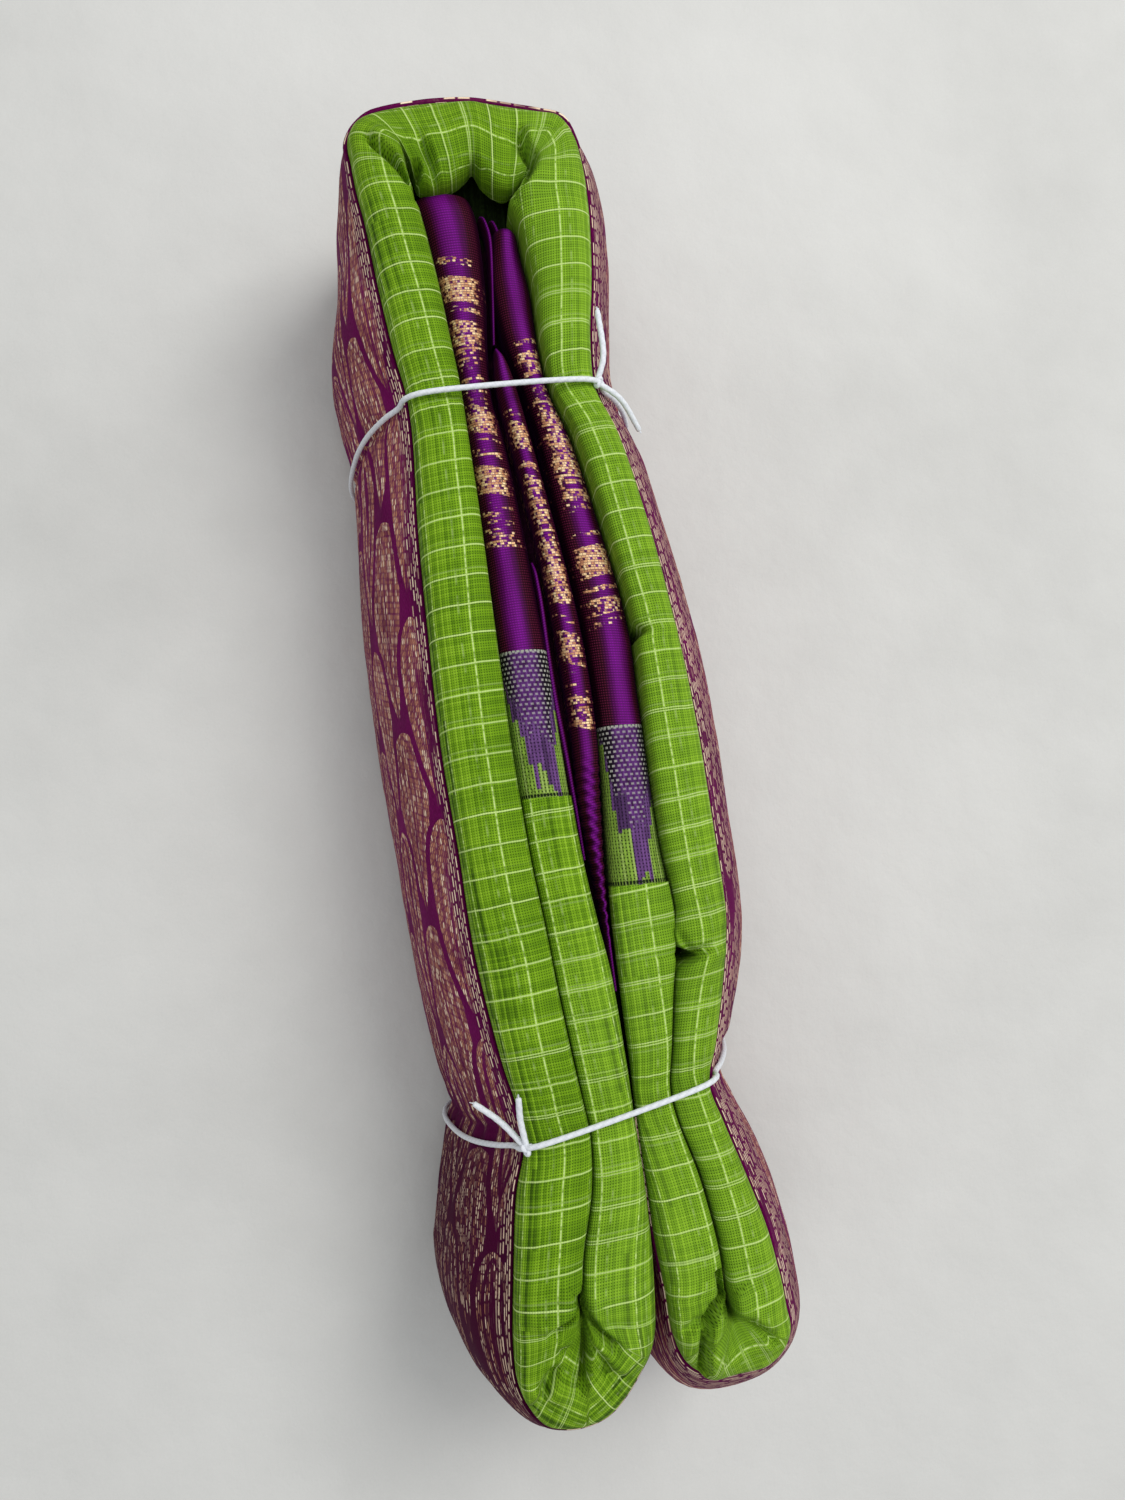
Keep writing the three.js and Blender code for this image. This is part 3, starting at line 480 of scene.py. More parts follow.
# ------------------------------------------------------------------ node material helpers
class Nodes:
    def __init__(self, name):
        self.mat = bpy.data.materials.new(name)
        self.mat.use_nodes = True
        self.nt = self.mat.node_tree
        self.nt.nodes.clear()
        self.out = self.nt.nodes.new("ShaderNodeOutputMaterial")

    def new(self, kind, **props):
        n = self.nt.nodes.new(kind)
        for k, v in props.items():
            setattr(n, k, v)
        return n

    def put(self, socket, value):
        if isinstance(value, bpy.types.NodeSocket):
            self.nt.links.new(value, socket)
        elif value is not None:
            socket.default_value = value

    def uv(self, name):
        n = self.new("ShaderNodeUVMap", uv_map=name)
        s = self.new("ShaderNodeSeparateXYZ")
        self.nt.links.new(n.outputs["UV"], s.inputs[0])
        return s.outputs["X"], s.outputs["Y"]

    def m(self, op, a, b=None, c=None, clamp=False):
        n = self.new("ShaderNodeMath", operation=op, use_clamp=clamp)
        self.put(n.inputs[0], a)
        if b is not None:
            self.put(n.inputs[1], b)
        if c is not None:
            self.put(n.inputs[2], c)
        return n.outputs[0]

    def add(self, a, b): return self.m("ADD", a, b)
    def sub(self, a, b): return self.m("SUBTRACT", a, b)
    def mul(self, a, b): return self.m("MULTIPLY", a, b)
    def fma(self, a, b, c): return self.m("MULTIPLY_ADD", a, b, c)
    def frac(self, a): return self.m("FRACT", a)
    def floor(self, a): return self.m("FLOOR", a)
    def abs(self, a): return self.m("ABSOLUTE", a)
    def min(self, a, b): return self.m("MINIMUM", a, b)
    def max(self, a, b): return self.m("MAXIMUM", a, b)
    def inv(self, a): return self.m("SUBTRACT", 1.0, a, clamp=True)

    def step(self, x, lo, hi, a=0.0, b=1.0):
        """b above hi, a below lo, smooth between."""
        n = self.new("ShaderNodeMapRange", interpolation_type="SMOOTHSTEP", clamp=True)
        self.put(n.inputs["Value"], x)
        self.put(n.inputs["From Min"], lo); self.put(n.inputs["From Max"], hi)
        self.put(n.inputs["To Min"], a); self.put(n.inputs["To Max"], b)
        return n.outputs["Result"]

    def vec(self, x, y, z=0.0):
        n = self.new("ShaderNodeCombineXYZ")
        self.put(n.inputs[0], x); self.put(n.inputs[1], y); self.put(n.inputs[2], z)
        return n.outputs[0]

    def noise(self, vec, scale=1.0, detail=2.0, rough=0.5, distort=0.0):
        n = self.new("ShaderNodeTexNoise", noise_dimensions="3D")
        self.put(n.inputs["Vector"], vec)
        n.inputs["Scale"].default_value = scale
        n.inputs["Detail"].default_value = detail
        n.inputs["Roughness"].default_value = rough
        n.inputs["Distortion"].default_value = distort
        return n.outputs["Fac"]

    def rand(self, vec):
        n = self.new("ShaderNodeTexWhiteNoise", noise_dimensions="3D")
        self.put(n.inputs["Vector"], vec)
        return n.outputs["Value"]

    def ramp(self, fac, stops, interp="LINEAR"):
        n = self.new("ShaderNodeValToRGB")
        cr = n.color_ramp
        cr.interpolation = interp
        while len(cr.elements) > 1:
            cr.elements.remove(cr.elements[-1])
        cr.elements[0].position = stops[0][0]; cr.elements[0].color = colour(stops[0][1])
        for p, c in stops[1:]:
            e = cr.elements.new(p)
            e.color = colour(c)
        self.put(n.inputs["Fac"], fac)
        return n.outputs["Color"]

    def mix(self, fac, a, b, mode="MIX"):
        n = self.new("ShaderNodeMix", data_type="RGBA", blend_type=mode)
        self.put(n.inputs[0], fac)
        self.put(n.inputs[6], colour(a) if not isinstance(a, bpy.types.NodeSocket) else a)
        self.put(n.inputs[7], colour(b) if not isinstance(b, bpy.types.NodeSocket) else b)
        return n.outputs[2]

    def bump(self, height, distance, strength=1.0, normal=None):
        n = self.new("ShaderNodeBump")
        self.put(n.inputs["Height"], height)
        n.inputs["Distance"].default_value = distance
        n.inputs["Strength"].default_value = strength
        if normal is not None:
            self.put(n.inputs["Normal"], normal)
        return n.outputs["Normal"]

    def finish(self, base, rough, normal=None, metallic=0.0, specular=0.3, sheen=0.0, sheen_rough=0.5, sheen_tint=(1, 1, 1, 1)):
        b = self.new("ShaderNodeBsdfPrincipled")
        self.put(b.inputs["Base Color"], colour(base) if not isinstance(base, bpy.types.NodeSocket) else base)
        self.put(b.inputs["Roughness"], rough)
        self.put(b.inputs["Metallic"], metallic)
        b.inputs["Specular IOR Level"].default_value = specular
        b.inputs["Sheen Weight"].default_value = sheen
        b.inputs["Sheen Roughness"].default_value = sheen_rough
        b.inputs["Sheen Tint"].default_value = sheen_tint
        if normal is not None:
            self.put(b.inputs["Normal"], normal)
        self.nt.links.new(b.outputs[0], self.out.inputs[0])
        return self.mat


def colour(c):
    """A colour as linear RGBA: numbers over 1 are sRGB out of 255, a plain number is grey."""
    if isinstance(c, (int, float)):
        return (c, c, c, 1.0)
    if max(c[:3]) > 1.001:
        lin = [((v / 255 + 0.055) / 1.055) ** 2.4 if v / 255 > 0.04045 else v / 255 / 12.92 for v in c[:3]]
        return (*lin, 1.0)
    return (*c[:3], 1.0)


# ------------------------------------------------------------------ materials
def green_cloth():
    """Crisp checked cloth: open plain weave of 0.6 mm threads, pale check lines 8 and 10.5 mm apart; painted light
    makes the rolls on the right a little lighter.
    """
    g = Nodes("green_check")
    u, v = g.uv("cloth")
    right_rolls_light_and_lines, aux = g.uv("aux")
    calm = g.m("MULTIPLY", aux, 1.0, clamp=True)
    pucker = g.m("MULTIPLY", aux, -1.0, clamp=True)    # where a lobe's puckers meet
    slant = g.fma(v, -0.10, u)
    wob = g.noise(g.vec(g.mul(u, 0.02), g.mul(v, 0.06), 3.0), 1.0, 2.0)
    uu = g.add(slant, g.fma(wob, 1.6, -0.8))
    vv = g.add(v, g.fma(g.noise(g.vec(g.mul(u, 0.03), g.mul(v, 0.03), 9.0), 1.0, 2.0), 0.8, -0.4))
    # threads
    pitch = 0.72
    tu, tv = g.mul(uu, 1 / pitch), g.mul(vv, 1 / pitch)
    cu = g.m("COSINE", g.mul(tu, 2 * math.pi))
    cv = g.m("COSINE", g.mul(tv, 2 * math.pi))
    pu, pv = g.fma(cu, 0.5, 0.5), g.fma(cv, 0.5, 0.5)
    pore = g.mul(g.m("POWER", pu, 1.3), g.m("POWER", pv, 1.3))
    weave_h = g.inv(g.max(g.mul(pu, 0.8), g.mul(pv, 0.8)))
    ru = g.rand(g.vec(g.floor(tu), 3.0, 1.0))
    rv = g.rand(g.vec(g.floor(tv), 7.0, 2.0))
    rv2 = g.rand(g.vec(g.floor(g.mul(tv, 0.5)), 5.0, g.floor(g.mul(u, 0.05))))
    streak_v = g.noise(g.vec(g.mul(u, 0.03), g.mul(vv, 1.3), 0.0), 1.0, 3.0, 0.7)
    streak_u = g.noise(g.vec(g.mul(uu, 1.1), g.mul(v, 0.04), 5.0), 1.0, 3.0, 0.65)
    cloud = g.noise(g.vec(g.mul(u, 0.045), g.mul(v, 0.07), 2.0), 1.0, 3.0)
    side = g.mul(g.step(v, -2.5, -8.0), g.m("SUBTRACT", 1.0, calm, clamp=True))   # the side of a roll that faces out shows its ribs
    tone = g.fma(streak_v, 0.22, 0.44)
    tone = g.add(tone, g.mul(g.fma(rv, 1.0, -0.5), g.fma(side, 0.30, 0.20)))
    tone = g.add(tone, g.mul(g.mul(g.step(rv2, 0.74, 0.90), side), -0.36))
    tone = g.add(tone, g.mul(g.fma(ru, 1.0, -0.5), 0.22))
    tone = g.add(tone, g.fma(streak_u, 0.22, -0.11))
    tone = g.add(tone, g.fma(cloud, 0.26, -0.13))
    base = g.ramp(tone, [(0.06, (54, 84, 4)), (0.34, (88, 128, 12)), (0.60, (114, 157, 22)), (0.9, (142, 184, 42))])
    # painted light: the rolls on the right are mixed towards a lighter green
    base = g.mix(g.mul(right_rolls_light_and_lines, 0.22), base, (150, 196, 60))
    deep = g.mul(pore, g.fma(side, -0.25, 1.0))
    base = g.mix(deep, base, (26, 50, 2))
    # check lines across the strip
    P = 8.05
    cell = g.floor(g.mul(uu, 1 / P))
    rc = g.rand(g.vec(cell, 11.0, 0.0))
    rc2 = g.rand(g.vec(cell, 17.0, 0.0))
    pos = g.sub(g.mul(g.frac(g.mul(uu, 1 / P)), P), g.fma(rc2, 0.7, 3.7))
    dash_u = g.noise(g.vec(g.mul(cell, 5.3), g.mul(v, 0.9), 1.0), 1.0, 2.0, 0.6)
    double = g.step(g.add(rc, g.mul(right_rolls_light_and_lines, 0.40)), 0.88, 0.90)
    line = g.step(g.abs(pos), 0.32, 0.12)
    two = g.max(g.step(g.abs(g.sub(pos, 0.34)), 0.24, 0.10), g.step(g.abs(g.add(pos, 0.34)), 0.24, 0.10))
    ghost = g.mul(g.step(g.abs(g.sub(pos, g.fma(right_rolls_light_and_lines, -3.4, 1.7))), 0.36, 0.15), g.mul(g.step(rc, 0.30, 0.75), 0.20))
    cross = g.add(g.mul(g.inv(double), line), g.mul(double, g.mul(two, 0.80)))
    cross = g.mul(cross, g.step(dash_u, 0.15, 0.50, 0.60, 1.0))
    cross = g.mul(cross, g.fma(rc2, 0.30, 0.72))
    cross = g.max(cross, ghost)
    # check lines along the strip
    Q = 10.5
    shift = g.add(vv, 100 * Q + Q / 2)
    col = g.floor(g.mul(shift, 1 / Q))
    q = g.sub(g.mul(g.frac(g.mul(shift, 1 / Q)), Q), Q / 2)
    dash_v = g.noise(g.vec(g.mul(col, 3.1), g.mul(u, 0.45), 4.0), 1.0, 2.0, 0.6)
    on_main = g.step(g.abs(v), 4.0, 3.0)
    along = g.mul(g.step(g.abs(q), 0.30, 0.12), g.step(dash_v, g.fma(on_main, -0.08, 0.46), g.fma(on_main, -0.06, 0.60), 0.20, 1.0))
    along = g.mul(along, g.fma(on_main, 0.15, 0.85))
    soft = g.mul(g.step(g.abs(g.add(q, 2.9)), 0.40, 0.15), g.step(g.noise(g.vec(8.0, g.mul(u, 0.25), 1.0), 1.0, 2.0), 0.42, 0.62))
    soft = g.mul(soft, 0.30)
    lines = g.mul(g.m("MINIMUM", g.max(cross, g.max(along, soft)), 1.0), g.step(pucker, 0.0, 0.5, 1.0, 0.15))
    bead = g.fma(g.max(pu, pv), -0.22, 1.0)
    base = g.mix(g.mul(lines, g.mul(bead, 0.84)), base, (212, 236, 150))
    height = g.add(g.mul(weave_h, 0.9), g.mul(lines, 0.6))
    height = g.add(height, g.mul(g.add(streak_v, streak_u), 0.6))
    n = g.bump(height, 0.00025, 0.7)
    rough = g.fma(tone, -0.12, 0.80)
    return g.finish(base, rough, n, specular=0.10, sheen=0.03, sheen_rough=0.4, sheen_tint=colour((220, 240, 150)))


def brocade(name="brocade"):
    """Purple ground with coppery metallic thread in short floats: large leaves with nested
    outlines inside them, slanted veins, and rows of bright dashes along the upper edge. Near the
    lobes the floats lie in long rows on a maroon ground. Highlights are painted on: random floats
    and the rim dashes turn near white. Shade is painted on where the aux map asks for it."""
    g = Nodes(name)
    u, v = g.uv("cloth")
    shade, aux = g.uv("aux")
    lobe = g.m("MULTIPLY", aux, 1.0, clamp=True)
    right = g.m("MULTIPLY", aux, -1.0, clamp=True)     # the right wall, plainer along its upper edge
    wu = g.add(u, g.fma(g.noise(g.vec(g.mul(u, 0.012), g.mul(v, 0.012), 1.0), 1.0, 0.0), 22.0, -11.0))
    wv = g.add(v, g.fma(g.noise(g.vec(g.mul(u, 0.014), g.mul(v, 0.012), 7.0), 1.0, 0.0), 14.0, -7.0))
    # leaves on a staggered lattice, rounded at one end and pointed at the other; the second
    # family lies behind the first, and each has a plain band round it
    LU, LV = 60.0, 31.0

    def leaf(off_u, off_v, k, size):
        fu = g.add(g.mul(wu, -1 / LU), off_u)
        fv = g.add(g.mul(wv, 1 / LV), off_v)
        p = g.sub(g.frac(fu), 0.5)                 # -0.5 to 0.5 along the leaf
        q = g.mul(g.sub(g.frac(fv), 0.5), 2.0)     # -1 to 1 across
        wide = g.mul(g.m("POWER", g.m("SUBTRACT", 0.5, p, clamp=True), 0.95), g.m("POWER", g.m("ADD", p, 0.5, clamp=True), 0.42))
        d = g.sub(g.mul(wide, size), g.abs(q))     # over 0 inside the leaf
        return p, q, d, g.rand(g.vec(g.floor(fu), g.floor(fv), k))

    p1, q1, d1, r1 = leaf(0.10, 0.28, 31.0, 1.66)
    p2, q2, d2, r2 = leaf(0.60, 0.78, 32.0, 2.00)
    pick = g.step(d1, -0.03, -0.02)
    d = g.add(g.mul(pick, d1), g.mul(g.inv(pick), d2))
    p = g.add(g.mul(pick, p1), g.mul(g.inv(pick), p2))
    q = g.add(g.mul(pick, q1), g.mul(g.inv(pick), q2))
    kind = g.add(g.mul(pick, r1), g.mul(g.inv(pick), r2))
    edge_at = g.fma(pick, 0.03, 0.12)
    inside = g.step(g.sub(d, edge_at), 0.0, 0.03)
    nest = g.m("PINGPONG", g.sub(d, g.add(edge_at, 0.01)), 0.125)
    outline = g.mul(g.mul(g.step(nest, 0.062, 0.048), g.step(d, 0.22, 0.26)), g.fma(g.step(kind, 0.24, 0.28), 0.36, 0.62))
    vein = g.m("PINGPONG", g.add(g.mul(wu, 0.34), g.mul(g.abs(q), 1.9)), 0.5)
    veins = g.mul(g.step(vein, 0.15, 0.06), g.step(g.abs(q), 0.05, 0.12))
    stem = g.mul(g.step(g.abs(q), 0.050, 0.030), g.step(p, -0.30, -0.25))
    fill = g.mul(inside, g.inv(g.max(outline, g.mul(stem, 0.9))))
    fill = g.mul(fill, g.inv(g.mul(veins, 0.50)))
    # small sprays in the purple between the leaves
    bu, bv = g.mul(wu, 1 / 27.0), g.mul(wv, 1 / 9.5)
    bud_u, bud_v = g.abs(g.mul(g.sub(g.frac(bu), 0.5), 27.0)), g.abs(g.mul(g.sub(g.frac(bv), 0.5), 9.5))
    bud = g.step(g.add(g.m("POWER", g.mul(bud_u, 1 / 7.5), 1.4), g.m("POWER", g.mul(bud_v, 1 / 1.9), 1.3)), 1.0, 0.86)
    bud = g.mul(bud, g.step(g.rand(g.vec(g.floor(bu), g.floor(bv), 0.0)), 0.58, 0.60))
    fill = g.max(fill, g.mul(g.mul(bud, 0.8), g.mul(g.step(d1, -0.16, -0.20), g.step(d2, -0.06, -0.10))))
    # metallic floats laid like bricks along the strip, in slightly wavy rows
    waver = g.mul(g.sub(g.noise(g.vec(g.mul(u, 0.28), g.mul(v, 0.20), 14.0), 1.0, 1.0), 0.5), 0.8)
    row = g.mul(g.add(v, waver), 1 / 0.95)
    brick = g.mul(g.add(u, g.add(g.mul(g.floor(row), 1.07), g.mul(v, 0.5))), 1 / 1.75)
    rb = g.rand(g.vec(g.floor(brick), g.floor(row), 1.0))
    in_row = g.abs(g.sub(g.frac(row), 0.5))
    in_brick = g.abs(g.sub(g.frac(brick), 0.5))
    float_h = g.mul(g.step(in_row, 0.42, 0.22), g.fma(g.step(in_brick, 0.50, 0.30), 0.66, 0.34))
    # near the lobes: long rows of dashes
    lrow = g.mul(g.add(v, waver), 1 / 1.04)
    lr = g.rand(g.vec(g.floor(lrow), 9.0, 0.0))
    ldash = g.mul(g.add(u, g.mul(lr, 30.0)), 1 / 2.5)
    lrd = g.rand(g.vec(g.floor(ldash), g.floor(lrow), 4.0))
    long_h = g.mul(g.step(g.abs(g.sub(g.frac(lrow), 0.5)), 0.29, 0.14), g.step(g.abs(g.sub(g.frac(ldash), 0.5)), 0.46, 0.32))
    long_h = g.mul(long_h, g.step(lrd, 0.14, 0.26))
    floats = g.add(g.mul(g.inv(lobe), float_h), g.mul(lobe, long_h))
    # rows of long bright dashes at the upper edge
    depth = g.add(g.fma(g.noise(g.vec(g.mul(u, 0.03), 5.0, 3.0), 1.0, 1.0), 8.0, 1.5), g.mul(right, 14.0))
    rim = g.mul(g.step(g.sub(v, depth), 1.0, -1.5), g.step(v, -0.2, 0.2))
    rim_row = g.mul(v, 1 / 1.22)
    rr = g.rand(g.vec(g.floor(rim_row), 5.0, 0.0))
    dash_len = g.mul(g.add(u, g.mul(rr, 40.0)), 1 / 3.8)
    rd = g.rand(g.vec(g.floor(dash_len), g.floor(rim_row), 2.0))
    rim_dash = g.mul(g.step(g.abs(g.sub(g.frac(rim_row), 0.5)), 0.26, 0.12), g.step(g.abs(g.sub(g.frac(dash_len), 0.5)), 0.44, 0.34))
    rim_keep = g.step(g.add(g.noise(g.vec(g.mul(u, 0.035), g.mul(v, 0.10), 2.0), 1.0, 2.0), g.mul(right, 0.03)), 0.37, 0.44)
    rim_mask = g.mul(g.mul(rim_dash, rim_keep), g.mul(rim, g.step(rd, 0.12, 0.34)))
    rim_mask = g.mul(rim_mask, g.inv(g.mul(g.mul(right, 0.5), g.step(v, 6.0, 10.0))))
    fill = g.mul(fill, g.mul(g.step(v, 0.4, 0.9), g.inv(g.mul(rim, g.fma(lobe, -0.35, 0.96)))))
    zari = g.m("MINIMUM", g.max(g.mul(fill, g.fma(floats, g.fma(lobe, 0.06, 0.88), g.fma(lobe, -0.06, 0.12))), rim_mask), 1.0)
    # painted highlights: random floats and the rim dashes are painted near white, a little dimmer where shade is
    # painted
    spark = g.mul(g.add(g.mul(g.inv(lobe), g.step(rb, 0.66, 0.94)), g.mul(lobe, g.step(lrd, 0.40, 0.85))), floats)
    glint = g.max(g.mul(spark, g.mul(fill, 0.88)), g.mul(rim_mask, g.fma(rd, 0.45, 0.55)))
    tone = g.noise(g.vec(g.mul(u, 0.05), g.mul(v, 0.06), 4.0), 1.0, 3.0)
    fine = g.noise(g.vec(g.mul(u, 0.9), g.mul(v, 2.2), 4.0), 1.0, 2.0)
    purple = g.ramp(g.add(g.mul(tone, 0.5), g.mul(fine, 0.5)), [(0.2, (64, 0, 44)), (0.5, (102, 10, 76)), (0.8, (130, 24, 100))])
    purple = g.mix(g.mul(lobe, 0.70), purple, (66, 4, 38))
    purple = g.mix(g.mul(rim, 0.30), purple, (40, 2, 30))
    long_tone = g.noise(g.vec(g.mul(u, 0.10), g.mul(v, 1.1), 6.0), 1.0, 2.0)
    copper = g.ramp(g.add(g.add(g.mul(rb, 0.34), g.mul(tone, 0.34)), g.mul(long_tone, 0.32)), [(0.24, (126, 66, 58)), (0.50, (198, 136, 106)), (0.76, (252, 198, 152))])
    copper = g.mix(g.mul(lobe, 0.20), copper, (168, 98, 84))
    base = g.mix(zari, purple, copper)
    # painted shade: darker where the mask says, on the lower-left wall, low down and on the underside
    base = g.mix(g.mul(shade, 0.50), base, (36, 4, 20))
    base = g.mix(g.mul(glint, g.fma(shade, -0.25, 1.0)), base, (255, 232, 204))
    metal = g.mul(g.mul(zari, g.inv(glint)), 0.10)
    rough = g.fma(zari, -0.12, 0.62)
    height = g.add(g.mul(floats, fill), rim_mask)
    height = g.add(height, g.mul(fine, 0.3))
    n = g.bump(height, 0.00028, 0.8)
    return g.finish(base, rough, n, metallic=metal, specular=0.02, sheen=0.0)


def pallu_cloth(name, bands, lo=180.0, hi=780.0, bright=1.0):
    """Purple satin ribbed along its length, with the metallic bands of the end piece. Each ridge has painted light: its
    crest is painted bright and its sides near black, the gold too.
    """
    g = Nodes(name)
    u, v = g.uv("cloth")            # along, across, mm
    cu, cv = g.uv("chart")          # level in the pattern, share across the ridge from -1 to 1
    tv = g.mul(v, 1 / 0.74)
    tu = g.mul(u, 1 / 0.74)
    wave = g.fma(g.m("COSINE", g.mul(tv, 2 * math.pi)), 0.5, 0.5)
    stitch = g.fma(g.m("COSINE", g.mul(g.add(tu, g.mul(cv, 0.6)), 2 * math.pi)), 0.5, 0.5)
    across = g.abs(g.add(cv, 0.12))
    # painted light and shade: the middle of the ridge is painted bright, its sides dark to near black
    mid = g.step(across, 0.84, 0.06)
    cloud = g.noise(g.vec(g.mul(u, 0.05), g.mul(v, 0.35), 1.0), 1.0, 3.0)
    tone = g.add(g.mul(mid, 0.70), g.fma(cloud, 0.45, -0.12))
    b = bright
    satin = g.ramp(tone, [(0.0, (16, 1, 6)), (0.28, (54 * b, 5, 30 * b)), (0.60, (96 * b, 10, 98 * b)), (0.95, (138 * b, 22, 160 * b))])
    dots = g.mul(g.max(g.mul(wave, 0.50), g.mul(g.m("POWER", stitch, 1.4), 0.80)), g.fma(mid, -0.22, 1.0))
    satin = g.mix(dots, satin, (8, 0, 5))
    pink = g.mul(g.mul(g.mul(g.inv(wave), g.inv(stitch)), g.mul(g.step(across, 0.30, 0.75), g.step(across, 1.0, 0.85))), 0.5)
    satin = g.mix(pink, satin, (128, 40, 74))
    # bands
    x = g.add(cu, g.fma(g.noise(g.vec(g.mul(v, 1.1), g.mul(u, 0.8), 6.0), 1.0, 2.0), 3.0, -1.5))
    x = g.add(x, g.mul(cv, -4.0))
    t = g.mul(g.sub(x, lo), 1 / (hi - lo))
    stops = [(0.0, 0.0)]
    for y0, y1, amount in bands:
        stops += [((y0 - lo) / (hi - lo), float(amount)), ((y1 - lo) / (hi - lo), 0.0)]
    density = g.ramp(t, stops, "CONSTANT") if len(stops) > 1 else 0.0
    # weft floats: short dashes across the ridge, in staggered rows, with dark pin holes
    row = g.mul(u, 1 / 0.72)
    row_r = g.rand(g.vec(g.floor(row), 1.0, 0.0))
    pos = g.add(g.mul(v, 1 / 1.05), row_r)
    speck = g.fma(g.rand(g.vec(g.floor(row), g.floor(pos), 3.0)), 0.52, g.mul(row_r, 0.48))
    gap = g.mul(g.step(g.abs(g.sub(g.frac(row), 0.5)), 0.48, 0.28), g.step(g.abs(g.sub(g.frac(pos), 0.5)), 0.50, 0.38))
    hr = g.mul(u, 1 / 2.16)
    hole = g.mul(g.step(g.abs(g.sub(g.frac(hr), 0.5)), 0.22, 0.12), g.step(g.abs(g.sub(g.frac(g.add(g.mul(v, 1 / 2.1), g.mul(g.floor(hr), 0.5))), 0.5)), 0.24, 0.14))
    patch = g.noise(g.vec(g.mul(u, 0.20), g.mul(v, 0.34), 8.0), 1.0, 3.0, 0.6)
    amount = g.mul(density, g.fma(patch, 1.0, 0.46))
    fade = g.step(across, 0.98, 0.50)
    amount = g.mul(amount, g.fma(fade, 0.72, 0.28))
    gold = g.step(g.sub(amount, speck), 0.0, 0.10)
    gold = g.mul(g.mul(gold, g.fma(gap, 0.75, 0.25)), g.inv(g.mul(hole, 0.95)))
    grain = g.rand(g.vec(g.floor(row), g.floor(pos), 2.0))
    # painted light and shade: the gold is painted lighter on the crest and darker towards the sides
    gcol = g.ramp(g.add(g.mul(grain, 0.45), g.mul(fade, 0.5)), [(0.1, (84, 34, 42)), (0.42, (160, 100, 78)), (0.66, (220, 164, 116)), (0.90, (255, 222, 170))])
    base = g.mix(g.mul(gold, 0.95), satin, gcol)
    metal = g.mul(gold, 0.25)
    rough = g.fma(gold, -0.03, 0.50)
    height = g.add(g.mul(g.inv(g.max(g.mul(wave, 0.6), stitch)), 0.8), g.mul(gold, 0.6))
    n = g.bump(height, 0.00022, 0.7)
    return g.finish(base, rough, n, metallic=metal, specular=0.07, sheen=0.03, sheen_rough=0.35, sheen_tint=colour((190, 60, 230)))


